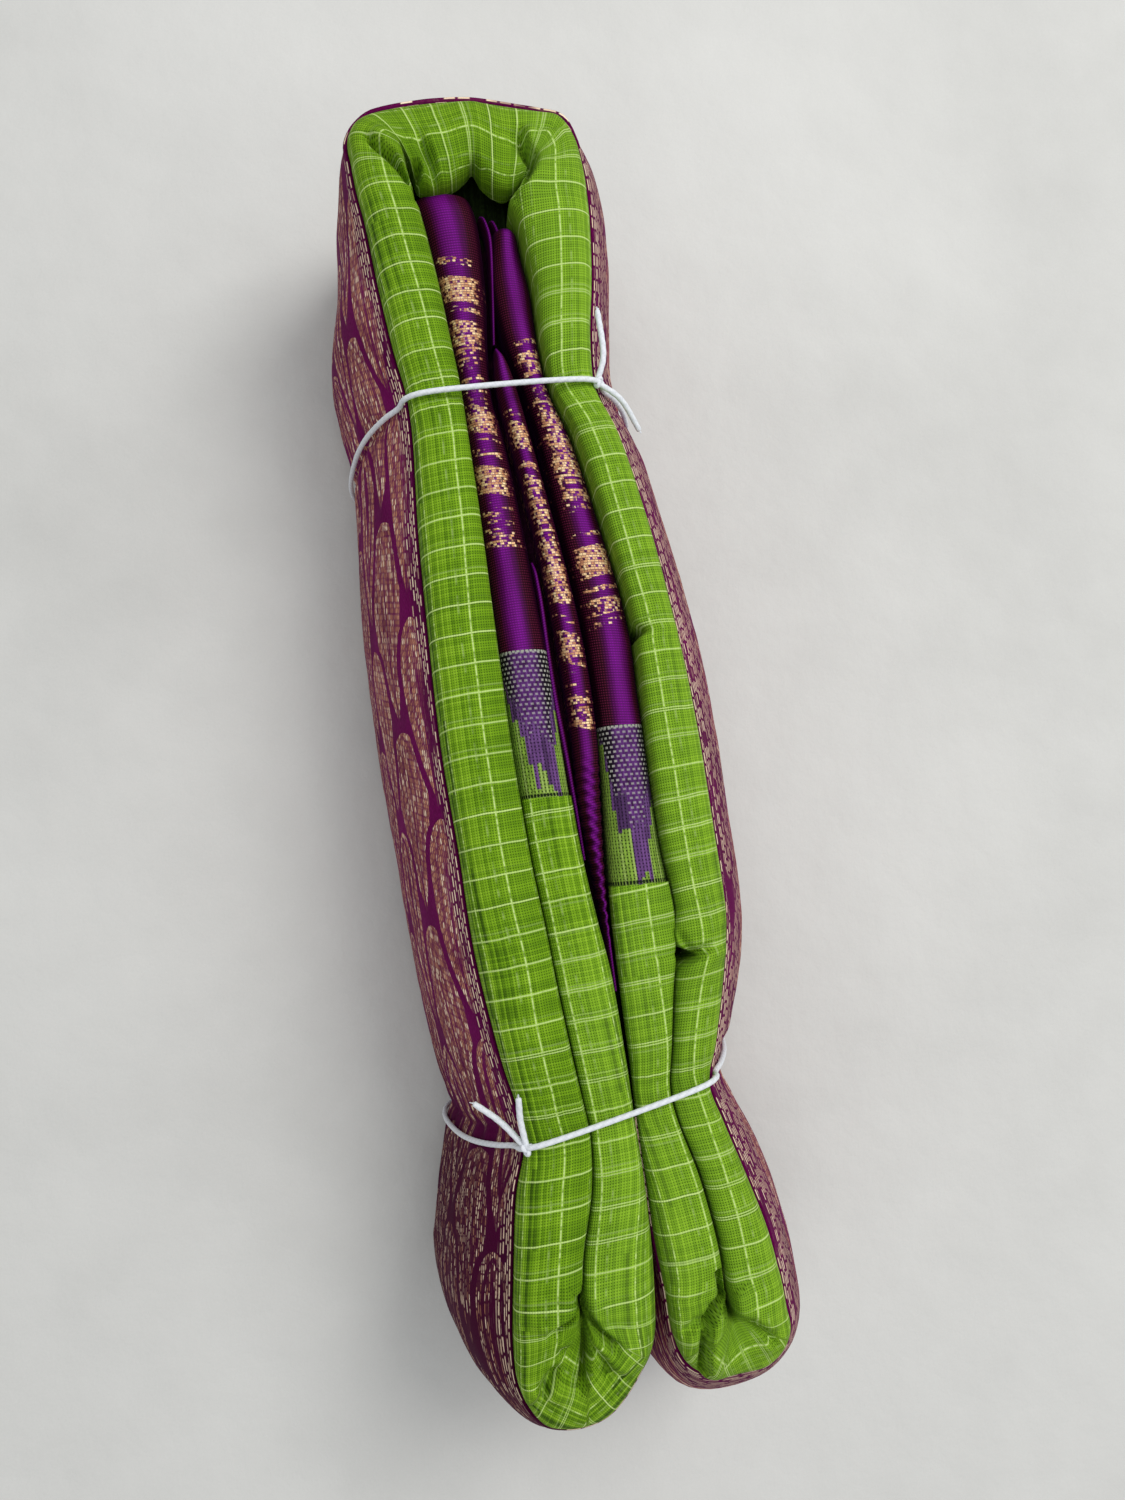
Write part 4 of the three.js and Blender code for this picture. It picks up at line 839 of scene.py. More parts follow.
def joint_band(name, ends, seed):
    """The join of body and pallu: pale dashes on purple, which gives way in staggered streaks to an
    open green net. ends: (share across, share of the length where the purple ends there)."""
    g = Nodes(name)
    u, v = g.uv("cloth")
    cu, cv = g.uv("chart")          # 0 at the pallu, 1 at the body; share across -1 to 1
    wide = g.mul(g.floor(g.mul(v, 1 / 1.15)), 1.15)
    quant = g.mul(g.add(g.floor(g.mul(v, 1 / 1.15)), 0.5), -1.15 / 8.6)
    rnd = g.rand(g.vec(g.floor(g.mul(v, 1 / 1.15)), float(seed), 0.0))
    end = g.ramp(g.fma(quant, 0.5, 0.5), [((a + 1) / 2, float(e)) for a, e in ends])
    end = g.add(end, g.fma(rnd, 0.16, -0.08))
    purple_zone = g.step(g.sub(end, cu), -0.006, 0.006)
    dash_end = g.add(g.mul(end, 0.60), 0.03)
    dash_zone = g.step(g.sub(dash_end, cu), -0.04, 0.04)
    # painted shade: the band's sides are painted near black, and the gaps between its dashes darker there
    side = g.step(g.abs(g.add(cv, 0.06)), 0.32, 0.80)
    # dashes in brick rows, on satin with black gaps
    row = g.mul(u, 1 / 1.30)
    brick = g.add(g.mul(v, 1 / 1.60), g.mul(g.m("MODULO", g.abs(g.floor(row)), 2.0), 0.5))
    fr, fb = g.abs(g.sub(g.frac(row), 0.5)), g.abs(g.sub(g.frac(brick), 0.5))
    dash = g.mul(g.step(fr, 0.32, 0.16), g.step(fb, 0.34, 0.20))
    dark = g.step(g.max(fr, g.mul(fb, 0.9)), 0.26, 0.44)
    satin = g.ramp(g.noise(g.vec(g.mul(u, 0.35), g.mul(v, 1.2), 1.0), 1.0, 3.0), [(0.3, (54, 18, 62)), (0.52, (90, 42, 112)), (0.75, (116, 66, 138))])
    satin = g.mix(g.mul(side, 0.92), satin, (10, 3, 8))
    dashed = g.mix(g.mul(dark, g.fma(side, 0.62, 0.28)), satin, (6, 3, 6))
    dashed = g.mix(g.mul(dash, g.fma(side, 0.32, 0.46)), dashed, (184, 184, 172))
    # the open net
    nu, nv = g.mul(u, 1 / 0.95), g.mul(v, 1 / 0.98)
    fu, fv = g.abs(g.sub(g.frac(nu), 0.5)), g.abs(g.sub(g.frac(nv), 0.5))
    thread = g.max(g.mul(g.step(fu, 0.42, 0.22), 0.72), g.step(fv, 0.40, 0.20))
    thread = g.mul(thread, g.fma(g.rand(g.vec(g.floor(nv), g.floor(g.mul(nu, 0.3)), 1.0)), 0.35, 0.72))
    netc = g.mix(thread, (12, 20, 4), (132, 166, 62))
    pale = g.mul(g.step(g.rand(g.vec(g.floor(nv), 4.0 + seed, 0.0)), 0.66, 0.70), g.step(fv, 0.40, 0.20))
    netc = g.mix(g.mul(pale, 0.45), netc, (170, 190, 112))
    violet = g.mix(thread, (26, 8, 36), (108, 70, 128))
    vline = g.step(g.rand(g.vec(g.floor(nv), 14.0 + seed, 0.0)), 0.60, 0.66)
    violet = g.mix(g.mul(vline, 0.55), violet, (22, 8, 30))
    base = g.mix(purple_zone, netc, violet)
    base = g.mix(g.mul(dash_zone, purple_zone), base, dashed)
    rim = g.step(g.abs(g.sub(cu, 0.985)), 0.016, 0.008)
    base = g.mix(g.mul(rim, g.step(g.abs(g.sub(g.frac(g.mul(v, 1 / 0.9)), 0.5)), 0.45, 0.25)), base, (16, 26, 6))
    top = g.step(cu, 0.020, 0.008)
    base = g.mix(g.mul(top, g.step(g.abs(g.sub(g.frac(g.mul(v, 1 / 1.2)), 0.5)), 0.45, 0.25)), base, (160, 164, 150))
    height = g.add(g.mul(thread, 0.6), g.mul(dash, 0.9))
    n = g.bump(height, 0.00025, 0.8)
    return g.finish(base, 0.72, n, specular=0.12, sheen=0.02)


def string_mat():
    g = Nodes("cotton_string")
    u, v = g.uv("cloth")
    ply = g.m("SINE", g.mul(g.add(g.mul(u, 1 / 2.6), g.mul(v, 2.0)), 2 * math.pi))
    fine = g.m("SINE", g.mul(g.add(g.mul(u, 1 / 0.9), g.mul(v, -3.0)), 2 * math.pi))
    fuzz = g.noise(g.vec(g.mul(u, 1.5), g.mul(v, 9.0), 1.0), 1.0, 3.0, 0.6)
    h = g.add(g.fma(ply, 0.08, 0.42), g.add(g.mul(fine, 0.05), g.mul(fuzz, 0.4)))
    base = g.ramp(h, [(0.15, (170, 174, 180)), (0.55, (214, 218, 224)), (0.95, (238, 241, 246))])
    n = g.bump(h, 0.0002, 0.5)
    return g.finish(base, 0.85, n, specular=0.2, sheen=0.2, sheen_rough=0.6)


def floor_mat():
    g = Nodes("pale_cloth")
    u, v = g.uv("cloth")
    a = g.noise(g.vec(g.mul(u, 0.006), g.mul(v, 0.006), 1.0), 1.0, 3.0)
    b = g.noise(g.vec(g.mul(u, 0.05), g.mul(v, 0.05), 3.0), 1.0, 4.0)
    weave = g.noise(g.vec(g.mul(u, 1.3), g.mul(v, 1.3), 5.0), 1.0, 2.0)
    t = g.add(g.mul(a, 0.7), g.add(g.mul(b, 0.2), g.mul(weave, 0.1)))
    base = g.ramp(t, [(0.25, (194, 194, 191)), (0.5, (206, 206, 203)), (0.75, (214, 214, 211))])
    n = g.bump(g.add(g.mul(b, 4.0), g.mul(weave, 0.15)), 0.0006, 0.5)
    return g.finish(base, 0.9, n, specular=0.15)


def inner_shade_cloth():
    """Folded layers deep in the creases, in colours darkened to paint the shade there: purple between the ridges, green
    in the pocket at the bend.
    """
    g = Nodes("inner_folds")
    u, v = g.uv("cloth")
    rows = g.noise(g.vec(g.mul(u, 0.02), g.mul(v, 0.9), 2.0), 1.0, 3.0, 0.7)
    weave = g.rand(g.vec(g.floor(g.mul(u, 1 / 0.6)), g.floor(g.mul(v, 1 / 0.6)), 0.0))
    t = g.add(g.mul(rows, 0.85), g.mul(weave, 0.15))
    # painted shade: both the green and the purple are kept close to black
    green = g.ramp(t, [(0.3, (8, 14, 3)), (0.5, (20, 32, 6)), (0.7, (36, 54, 10))])
    purple = g.ramp(t, [(0.3, (22, 3, 14)), (0.5, (44, 6, 34)), (0.7, (66, 12, 52))])
    pocket = g.step(u, 146.0, 150.0)
    lobes = g.step(u, -44.0, -50.0)
    base = g.mix(g.max(pocket, lobes), purple, green)
    n = g.bump(t, 0.0004, 0.6)
    return g.finish(base, 0.85, n, specular=0.12)


MAT_GREEN = green_cloth()
MAT_BROCADE = brocade()
MAT_STRING = string_mat()
MAT_FLOOR = floor_mat()
MAT_INNER_SHADE = inner_shade_cloth()

# ------------------------------------------------------------------ the green body over the edges
path = np.vstack([
    arm_rows(ys_between(LEFT_BAND[0], -150), "IL"),
    turn_rows(LEFT_TURN[::-1], 0.80, 0.62),
    arm_rows(ys_between(-150, TURN), "OL"),
    turn_rows(TOP_TURN, 0.55, 0.50),
    arm_rows(ys_between(TURN, -150), "OR"),
    turn_rows(RIGHT_TURN, 0.55, 0.45),
    arm_rows(ys_between(-150, RIGHT_BAND[0]), "IR"),
])
G = dense(path, 0.7)
# notches that the inner edge of the outer right roll has where it kinks
right_arm = (G[:, 0] > G[:, 2]) & (G[:, 0] > 24) & (np.abs(G[:, 1]) < 150)
for y0, deep, wide in ((-62.3, 5.2, 1.9), (-55.5, -1.1, 4.0), (26.9, 2.8, 1.5)):
    w0 = G[:, 0] - G[:, 2]
    G[:, 2] += np.where(right_arm, deep * np.exp(-((G[:, 1] - y0) / wide) ** 2), 0)
    G[:, 8] = np.where(right_arm, G[:, 8] * w0 / (G[:, 0] - G[:, 2] + 1e-9), G[:, 8])
bulge_in = np.where(G[:, 0] - G[:, 2] > 3, 3.0 * np.exp(-((G[:, 3] - 153.0) / 4.0) ** 2) * smooth(G[:, 0], 18, 24), 0)
G[:, 8] = G[:, 8] * (1 - bulge_in / np.maximum(G[:, 0] - G[:, 2] + bulge_in, 3))
G[:, 2] -= bulge_in
is_inner = np.where(((G[:, 0] > G[:, 2]) & (G[:, 0] < 24)) | ((G[:, 0] < G[:, 2]) & (G[:, 0] > 18)), 1.0, 0.0) * smooth(170 + G[:, 1], 0, 14) * smooth(150 - G[:, 1], 0, 10)
P, top = roll_grid(G, inner=is_inner)
u, v = roll_uv(P, G)


def sectored(u, v, P, R, tip, near, bounds, turns):
    """Round a lobe the cloth isn't bent in its own plane: it lies in flat facets with puckers
    between them, so the weave runs straight across each facet."""
    e = R[:, 0:2] - R[:, 2:4]
    e = e / np.linalg.norm(e, axis=1, keepdims=True)
    rows = np.nonzero((R[:, 1] < -150.2) & (np.abs(R[:, 2] - tip) < near))[0]
    phi = np.degrees(np.arctan2(-e[rows, 1], -e[rows, 0]))
    across = lengths_across(P)
    rho = across[:, -5:-4] - across                      # length from the inner end
    Q = R[:, 2:4][:, None, :] + e[:, None, :] * rho[..., None]
    u, v = u.copy(), v.copy()
    for a, b, th in zip(bounds[:-1], bounds[1:], turns):
        k = rows[(phi >= a) & (phi < b)]
        if not len(k):
            continue
        th = math.radians(th)
        dv, du = np.array([math.cos(th), math.sin(th)]), np.array([-math.sin(th), math.cos(th)])
        mid = k[len(k) // 2]
        if a < 0:
            mid = k[np.argmin(phi[np.isin(rows, k)])]
        if b > 180:
            mid = k[np.argmax(phi[np.isin(rows, k)])]
        c = P.shape[1] // 2
        qu, qv = Q[k] @ du, Q[k] @ dv
        u[k] = qu + (u[mid, c] - Q[mid, c] @ du)
        v[k] = qv + (v[mid, c] - Q[mid, c] @ dv)
    return u, v


u, v = sectored(u, v, P, G, 2.0, 8, (-20, 53, 87, 143, 200), (4, 60, 121, 177))
u, v = sectored(u, v, P, G, 41.3, 8, (-20, 41, 72, 149, 200), (3, 52, 108, 176))
# the right rolls: more of their check lines are doubled, and painted light makes them a little lighter
right_roll_light_and_lines = smooth(G[:, 0], 14, 20)[:, None] * np.ones_like(u)
# creases and a gentle unevenness
P[..., 2] += crease_height(P[..., 0], P[..., 1]) * top
P[..., 2] += top * (0.30 * noise2(u / 26, v / 9, 3) + 0.12 * noise2(u / 7, v / 5, 4))
P[..., 0] += 0.18 * noise2(u / 30, v / 30, 5)
# soft diagonal pulls near the ties
for t in TIES:
    d = P[..., 1] - (t["y"] + (P[..., 0] + 24) * t["tilt"])
    press = np.exp(-(d / 2.2) ** 2)
    P[..., 2] -= 0.55 * press * top
    P[..., 2] += 0.25 * top * np.exp(-np.abs(d) / 14) * np.sin(v * 2.1 + d * 0.12)
# the puckers' crests stay round, and no more than a few millimetres above the rolls
over = np.maximum(P[..., 2] - 99.0, 0)
P[..., 2] += 4.5 * (1 - np.exp(-over / 4.5)) - over
calm = smooth(G[:, 1], 150, 166)[:, None] * np.ones_like(u)
for cx, cy, reach in ((38.5, -155.6, 9.5), (2.2, -151.0, 7.0)):
    calm = calm - 1.0 * smooth(reach - np.hypot(P[..., 0] - cx, P[..., 1] - cy), 0, 3.5)
body = put_mesh("body_cloth", P, {"cloth": (u, v), "aux": (right_roll_light_and_lines, calm)}, MAT_GREEN)
AREA = {"body_cloth": surface_area(P)}
BODY_P = P

# ------------------------------------------------------------------ the brocade walls
def swell(sw, z):
    topv = 1 - math.exp(-(EDGE_Z - WIDEST_Z) / WALL_RISE)
    return sw * (1 - np.exp(-(EDGE_Z - z) / WALL_RISE)) / topv


wall_path = np.vstack([
    arm_rows(ys_between(-104, -150), "IL"),
    turn_rows(LEFT_TURN[::-1], 0.5, 0.5),
    arm_rows(ys_between(-150, TURN), "OL"),
    turn_rows(TOP_TURN, 0.5, 0.5),
    arm_rows(ys_between(TURN, -150), "OR"),
    turn_rows(RIGHT_TURN, 0.5, 0.5),
    arm_rows(ys_between(-150, -104), "IR"),
])
W = dense(wall_path, 1.2)
sw = W[:, 4:5]
foot = np.minimum(FOOT_IN, 0.55 * sw)
zs = np.concatenate([[84.0, 87.2, 88.6, 88.9, 88.2], np.linspace(86.5, 20, 44), [16, 12, 8, 5.5, 3.4, 1.8, 0.8, 0.3, 0.2, 0.2, 0.2]])
N = len(zs)
out = np.zeros((len(W), N)); z = np.broadcast_to(zs, (len(W), N)).copy()
end_lip = smooth(W[:, 1], 164, 178)[:, None] * smooth(36 - np.abs(W[:, 0] - 0), 0, 10)[:, None]
out[:, 0:5] = np.array([-1.5, -0.8, -0.15, 0.45, 0.9]) + end_lip * np.array([0.0, 0.5, 1.3, 1.5, 1.3])
z[:, 1:5] += end_lip * np.array([0.3, 0.8, 1.0, 0.8])
main = np.arange(5, 5 + 44)
out[:, main] = swell(sw, z[:, main]) + 0.35 + end_lip * 1.3 * np.exp(-(86.5 - z[:, main]) / 6.0)
k = np.arange(49, N)
zz = zs[k]
f1 = np.clip((20 - zz) / 12, 0, 1)
low = sw - foot * 0.3 * f1 ** 1.6
f2 = np.clip((8 - zz) / 8, 0, 1)
low = low - (foot * 0.7) * (1 - np.sqrt(np.clip(1 - f2 ** 2, 0, 1)))
out[:, k] = low
out[:, -3:] = (sw - foot) + np.array([0.0, -2.5, -6.0])
PW = place(W, out, z)
vw = lengths_across(PW) - 5.0
uw = np.broadcast_to(W[:, 9:10], vw.shape)
# unevenness: long soft waves, gathered folds that run out from the ties
amp = smooth(88 - z, 1, 14) * smooth(z, 0.5, 12)
bulge = 0.55 * noise2(uw / 34, vw / 26, 21) + 0.22 * noise2(uw / 9, vw / 14, 22)
for t in TIES:
    d = PW[..., 1] - (t["y"] + (PW[..., 0] + 24) * t["tilt"])
    on_side = 1.0
    bulge -= 1.1 * np.exp(-(d / 2.0) ** 2)
    bulge += 0.45 * np.exp(-np.abs(d) / 16) * np.sin(vw * 0.75 + np.sign(d) * 0.6)
e = W[:, 0:2] - W[:, 2:4]
e = e / np.linalg.norm(e, axis=1, keepdims=True)
PW[..., 0] += e[:, 0:1] * bulge * amp
PW[..., 1] += e[:, 1:2] * bulge * amp
# painted shade: a mask that darkens the lower-left wall and the lowest part of every wall
shade = smooth(-PW[..., 1], 60, 118) * smooth(-PW[..., 0], -5, 12) * 0.8
shade = np.maximum(shade, smooth(20 - z, 0, 16) * 0.6)
lobe_zone = smooth(-PW[..., 1], 98, 122) * smooth(8 - PW[..., 0], 0, 30) - smooth(PW[..., 0], 22, 34)
wall = put_mesh("border_cloth", PW, {"cloth": (uw, vw), "aux": (shade, lobe_zone)}, MAT_BROCADE, flip=True)
AREA["border_cloth"] = surface_area(PW)

# ------------------------------------------------------------------ the underside: the folded lower edges, pressed flat
under_path = np.vstack([
    arm_rows(ys_between(150, -150), "IL"),
    turn_rows(LEFT_TURN[::-1], 0.5, 0.5),
    arm_rows(ys_between(-150, TURN), "OL"),
    turn_rows(TOP_TURN, 0.5, 0.5),
    arm_rows(ys_between(TURN, -150), "OR"),
    turn_rows(RIGHT_TURN, 0.5, 0.5),
    arm_rows(ys_between(-150, 150), "IR"),
])
U = dense(under_path, 1.6)
w = np.hypot(U[:, 0] - U[:, 2], U[:, 1] - U[:, 3])[:, None]
swu = U[:, 4:5]
o = swu - np.minimum(FOOT_IN, 0.55 * swu)
t = np.linspace(0, 1, 26)[None, :]
outu = o + 0.6 - (o + w + 0.3) * t
zu = 0.25 + 7.5 * smooth(t, 0.93, 1.0) ** 1.5 + 3.0 * (1 - smooth(t, 0.0, 0.05)) * (swu < 3)
PU = place(U, outu, zu * np.ones_like(outu))
vu = lengths_across(PU)
uu = np.broadcast_to(U[:, 9:10], vu.shape)
layers = np.abs(np.sin(vu * 0.52 + 0.8 * noise2(uu / 40, vu / 9, 31)))
PU[..., 2] += 0.9 * (1 - layers) ** 3 * smooth(t, 0.02, 0.08) + 0.12 * (noise2(uu / 12, vu / 6, 32) + 1)
PU[..., 2] = np.maximum(PU[..., 2], 0.15)
for tie in TIES:     # the shallow channels that the strings run in
    d = PU[..., 1] - (tie["y"] + (PU[..., 0] - float(arm("outL", np.array([tie["y"]]))[0])) * tie["tilt"])
    PU[..., 2] = np.maximum(PU[..., 2], 2.6 * np.exp(-(d / 2.1) ** 4))
# painted shade: the underside's material is darkened by a fixed share
under = put_mesh("underside_cloth", PU, {"cloth": (uu, vu + 84.0), "aux": (np.full_like(uu, 0.35), np.zeros_like(uu))}, MAT_BROCADE, flip=True)
AREA["underside_cloth"] = surface_area(PU)

# ------------------------------------------------------------------ pallu ridges and joint bands
PALLU_BANDS = {
    "L": [(257, 264, 0.55), (274, 301, 0.95), (306, 311, 0.7), (319, 346, 0.85), (346, 392, 0.45),
          (395, 404, 0.4), (404, 432, 0.75), (436, 440, 0.35), (449, 456, 0.5), (464, 492, 0.95), (503, 508, 0.5),
          (512, 516, 0.5), (519, 523, 0.6), (529, 547, 0.55)],
    "R": [(338, 344, 0.5), (350, 374, 0.75), (384, 391, 0.55), (395, 430, 0.75), (430, 452, 0.55), (452, 475, 0.8),
          (475, 510, 0.55), (530, 536, 0.5), (545, 574, 0.95), (584, 588, 0.55), (597, 613, 0.8), (616, 624, 0.5)],
    "C": [(408, 416, 0.5), (420, 448, 0.8), (459, 466, 0.6), (474, 530, 0.7), (530, 604, 0.75), (615, 621, 0.5),
          (632, 664, 0.8), (672, 690, 0.4), (694, 728, 0.7)],
}
MAT_PALLU = {k: pallu_cloth("pallu_" + k, b) for k, b in PALLU_BANDS.items()}
MAT_PLAIN = pallu_cloth("pallu_plain", [])
MAT_BAND = {
    "L": joint_band("joint_band_L", [(-1.0, 0.30), (-0.62, 0.50), (-0.36, 0.66), (-0.18, 0.95), (-0.02, 0.72), (0.12, 0.80), (0.26, 0.98), (0.50, 0.98), (0.62, 0.62), (1.0, 0.36)], 1),
    "R": joint_band("joint_band_R", [(-1.0, 0.50), (-0.70, 0.62), (-0.48, 0.66), (-0.34, 0.98), (0.10, 0.98), (0.24, 0.62), (0.50, 0.62), (0.66, 0.50), (0.78, 0.18), (1.0, 0.10)], 2),
}


def ridge(name, rows, mat, chart, n_arch=26, tuck=12.0, step=0.7, power=0.9, wave=1.0, seed=1, smoothen=0.0):
    R = dense(rows, step)
    w = np.hypot(R[:, 0] - R[:, 2], R[:, 1] - R[:, 3])[:, None]
    half = w / 2
    hi, eo, ei = R[:, 5:6], R[:, 6:7], R[:, 7:8]
    a = np.linspace(0, math.pi, n_arch)[None, :]
    c, s = np.cos(a), np.maximum(np.sin(a), 0)
    edge = eo + (ei - eo) * a / math.pi
    out = -half + half * np.sign(c) * np.abs(c) ** power
    z = edge + (hi - edge) * s ** power
    o0 = np.broadcast_to(np.array([-0.9, -0.4]), (len(R), 2))
    z0 = eo - tuck * np.array([[1.0, 0.4]])
    o1 = -w + np.array([[0.4, 0.9]])
    z1 = ei - tuck * np.array([[0.4, 1.0]])
    P = place(R, np.concatenate([o0, out, o1], 1), np.concatenate([z0, z, z1], 1))
    u = np.broadcast_to(R[:, 9:10], P.shape[:2])
    v = lengths_across(P)
    v = v - v[:, -1:] / 2
    topm = np.concatenate([np.zeros((len(R), 2)), np.broadcast_to(s ** 0.7, (len(R), n_arch)), np.zeros((len(R), 2))], 1)
    P[..., 2] += topm * wave * (0.35 * noise2(u / 30, v / 6, seed) + 0.18 * noise2(u / 60, v / 2.2, seed + 7))
    share = np.clip(-(np.concatenate([o0, out, o1], 1) + half) / half, -1.1, 1.1)
    if chart == "px":
        cu = to_px(P)[..., 1]
        mid = cu.shape[1] // 2
        cu = np.broadcast_to(cu[:, mid:mid + 1], cu.shape)
    else:
        cu = np.broadcast_to((R[:, 9:10] - R[0, 9]) / (R[-1, 9] - R[0, 9]), P.shape[:2])
    for t in TIES:
        d = P[..., 1] - (t["y"] + (P[..., 0] + 24) * t["tilt"])
        P[..., 2] -= 0.4 * np.exp(-(d / 2.4) ** 2) * topm
    return R, P, {"cloth": (u, v), "chart": (cu, -share)}


PIECES = {}


def inner_rows(side, y0, y1):
    r = arm_rows(ys_between(y0, y1), side)
    return r


def lower(rows, by=1.6, rise=None):
    """The pallu lies deeper than the body, and comes up to it at the joint band."""
    r = rows.copy()
    y = r[:, 1]
    k = smooth(y - y.min(), 0, 12) * by
    r[:, 5] -= k
    r[:, 6] -= k * 1.3
    r[:, 7] -= k * 1.3
    if rise is not None:                 # level of the crest near its top end
        up = np.maximum(0, rise - r[:, 5]) * smooth(y, 132, 148)
        r[:, 5:8] += up[:, None]
    return r


def end_cap(rows, length=5.0, drop=9.0):
    """The ridge's top end rounds down into the pocket: the crest sinks over its last millimetres."""
    r = rows.copy()
    y = r[:, 1]
    k = smooth(y, y.max() - length, y.max())
    r[:, 5] -= drop * k ** 2
    r[:, 6] -= drop * k ** 2
    r[:, 7] -= drop * k ** 2
    return r


specs = [
    ("pallu_left_cloth", end_cap(lower(inner_rows("IL", LEFT_PALLU + 2.0, LEFT_BAND[1]), rise=90.0), 1.0, 2.0), MAT_PALLU["L"], "px", ["pallu_left"], 41),
    ("joint_band_left_cloth", inner_rows("IL", *LEFT_BAND[::-1]), MAT_BAND["L"], "share", ["joint_band_left"], 42),
    ("pallu_right_cloth", end_cap(lower(inner_rows("IR", RIGHT_PALLU, RIGHT_BAND[1]), rise=89.5), 2.4, 6.0), MAT_PALLU["R"], "px", ["pallu_right"], 43),
    ("joint_band_right_cloth", inner_rows("IR", *RIGHT_BAND[::-1]), MAT_BAND["R"], "share", ["joint_band_right"], 44),
]
for name, rows, mat, chart, nodes, seed in specs:
    R, P, uvs = ridge(name, rows, mat, chart, seed=seed, wave=0.8 if chart == "px" else 0.4)
    # the left arms' outer end lies to the right, the right arms' to the left
    o = put_mesh(name, P, uvs, mat, flip="right" in name)
    AREA[name] = surface_area(P)
    PIECES[name] = (o, nodes)

# the centre ridge and the darker pleat beside it
ys = ys_between(RIDGE[1], RIDGE[0] - 10)
mL, mR = arm("midL", ys), arm("midR", ys)
taper = np.minimum(1, np.minimum((ys - RIDGE[0]) / 60 + 0.35, (RIDGE[1] - ys) / 12 + 0.45))
taper = np.maximum(taper, 0.18)
width = np.maximum((mR - mL) - 0.6, 1.2)
cx = through([112, 98, 60, 30, 0, -20, -70], [2.6, 4.8, 11.5, 15.6, 17.6, 17.4, 19.4], ys)
half = np.maximum(width * 0.36 * taper, 0.7)
zc = 91.0 + 1.5 * taper
rows = np.column_stack([cx + half, ys, cx - half, ys, np.zeros_like(ys), zc, zc - 6, zc - 6, np.full_like(ys, 0.5)])
R, P, uvs = ridge("pallu_centre_cloth", end_cap(rows, 3.0, 4), MAT_PALLU["C"], "px", seed=45)
# twisted like a rope where it runs out between the arms
yy = P[..., 1]
rope = smooth(-yy, 4, 12) * smooth(yy, -62, -44)
P[..., 2] += rope * 0.75 * np.sin(yy * 1.9 + P[..., 0] * 1.5)
P[..., 0] += rope * 0.30 * np.sin(yy * 1.9 + 1.3)
o = put_mesh("pallu_centre_cloth", P, uvs, MAT_PALLU["C"])
AREA["pallu_centre_cloth"] = surface_area(P)
parts_c = [o]


def pleat(name, pts, z, width, seed):
    """A narrow pleat of the pallu that shows between the ridges."""
    line = px(pts, z)
    t = np.linspace(0, 1, len(line))
    n = max(8, int(np.hypot(*np.diff(line, axis=0).T).sum() / 4))
    tt = np.linspace(0, 1, n)
    x, y = through(t, line[:, 0], tt), through(t, line[:, 1], tt)
    half = width * (0.55 + 0.45 * np.sin(np.pi * np.clip(tt * 0.9 + 0.08, 0, 1)))
    rows = np.column_stack([x + half, y, x - half, y, 0 * x, z + 0 * x, z - 7 + 0 * x, z - 7 + 0 * x, 0.5 + 0 * x])
    R, P, uvs = ridge(name, end_cap(rows, 2.0, 3.0), MAT_PLAIN, "px", n_arch=14, tuck=6.0, step=0.9, seed=seed)
    AREA["pallu_centre_cloth"] += surface_area(P)
    return put_mesh(name, P, uvs, MAT_PLAIN)


parts_c.append(pleat("pleat_a", [(480, 211), (489, 232), (492, 264), (494, 345)], 86.0, 0.95, 91))
parts_c.append(pleat("pleat_b", [(490, 216), (498, 232), (503, 262)], 84.5, 0.9, 92))
parts_c.append(pleat("pleat_c", [(533, 560), (541, 600), (548, 650), (556, 700), (565, 745), (575, 800), (585, 860)], 88.5, 1.25, 93))
PALLU_C_PARTS = parts_c
PIECES["pallu_centre_cloth"] = (o, ["pallu_centre"])

# ------------------------------------------------------------------ deep folds under everything
core_path = np.array([[x, y] for x, y in [(0, 0)]])
ys = ys_between(173, -150)
yc = np.minimum(ys, 158)
left, right = arm("outL", yc) + 2.0, arm("outR", yc) - 2.5
n = 60
tt = np.linspace(0, 1, n)[None, :]
X = left[:, None] + (right - left)[:, None] * tt
Y = np.broadcast_to(ys[:, None], X.shape)
Z = 76.0 + 1.8 * np.sin(X * 2.2) + 0.6 * noise2(Y / 20, X / 3, 51)
deep = np.stack([X, Y, Z], -1)
# a sheet in painted shade: the folds deep inside get very dark colours
inner = put_mesh("inner_folds", deep, {"cloth": (Y * 1.0, X * 1.0)}, MAT_INNER_SHADE, flip=True)
AREA["inner_folds"] = surface_area(deep)


# ------------------------------------------------------------------ the strings
def wall_side_point(side, y, i):
    r = arm_rows(np.array([y]), side)[0]
    sw, foot = r[4], min(FOOT_IN, 0.55 * r[4])
    ex = 1.0 if r[0] > r[2] else -1.0
    levels = [WALL_TOP, 80, 68, 50, WIDEST_Z]
    if i < 5:
        return r[0] + ex * float(swell(sw, levels[i])), levels[i], ex
    return (r[0] + ex * (sw - foot * 0.3), 8.0, ex) if i == 5 else (r[0] + ex * (sw - foot), 0.0, ex)


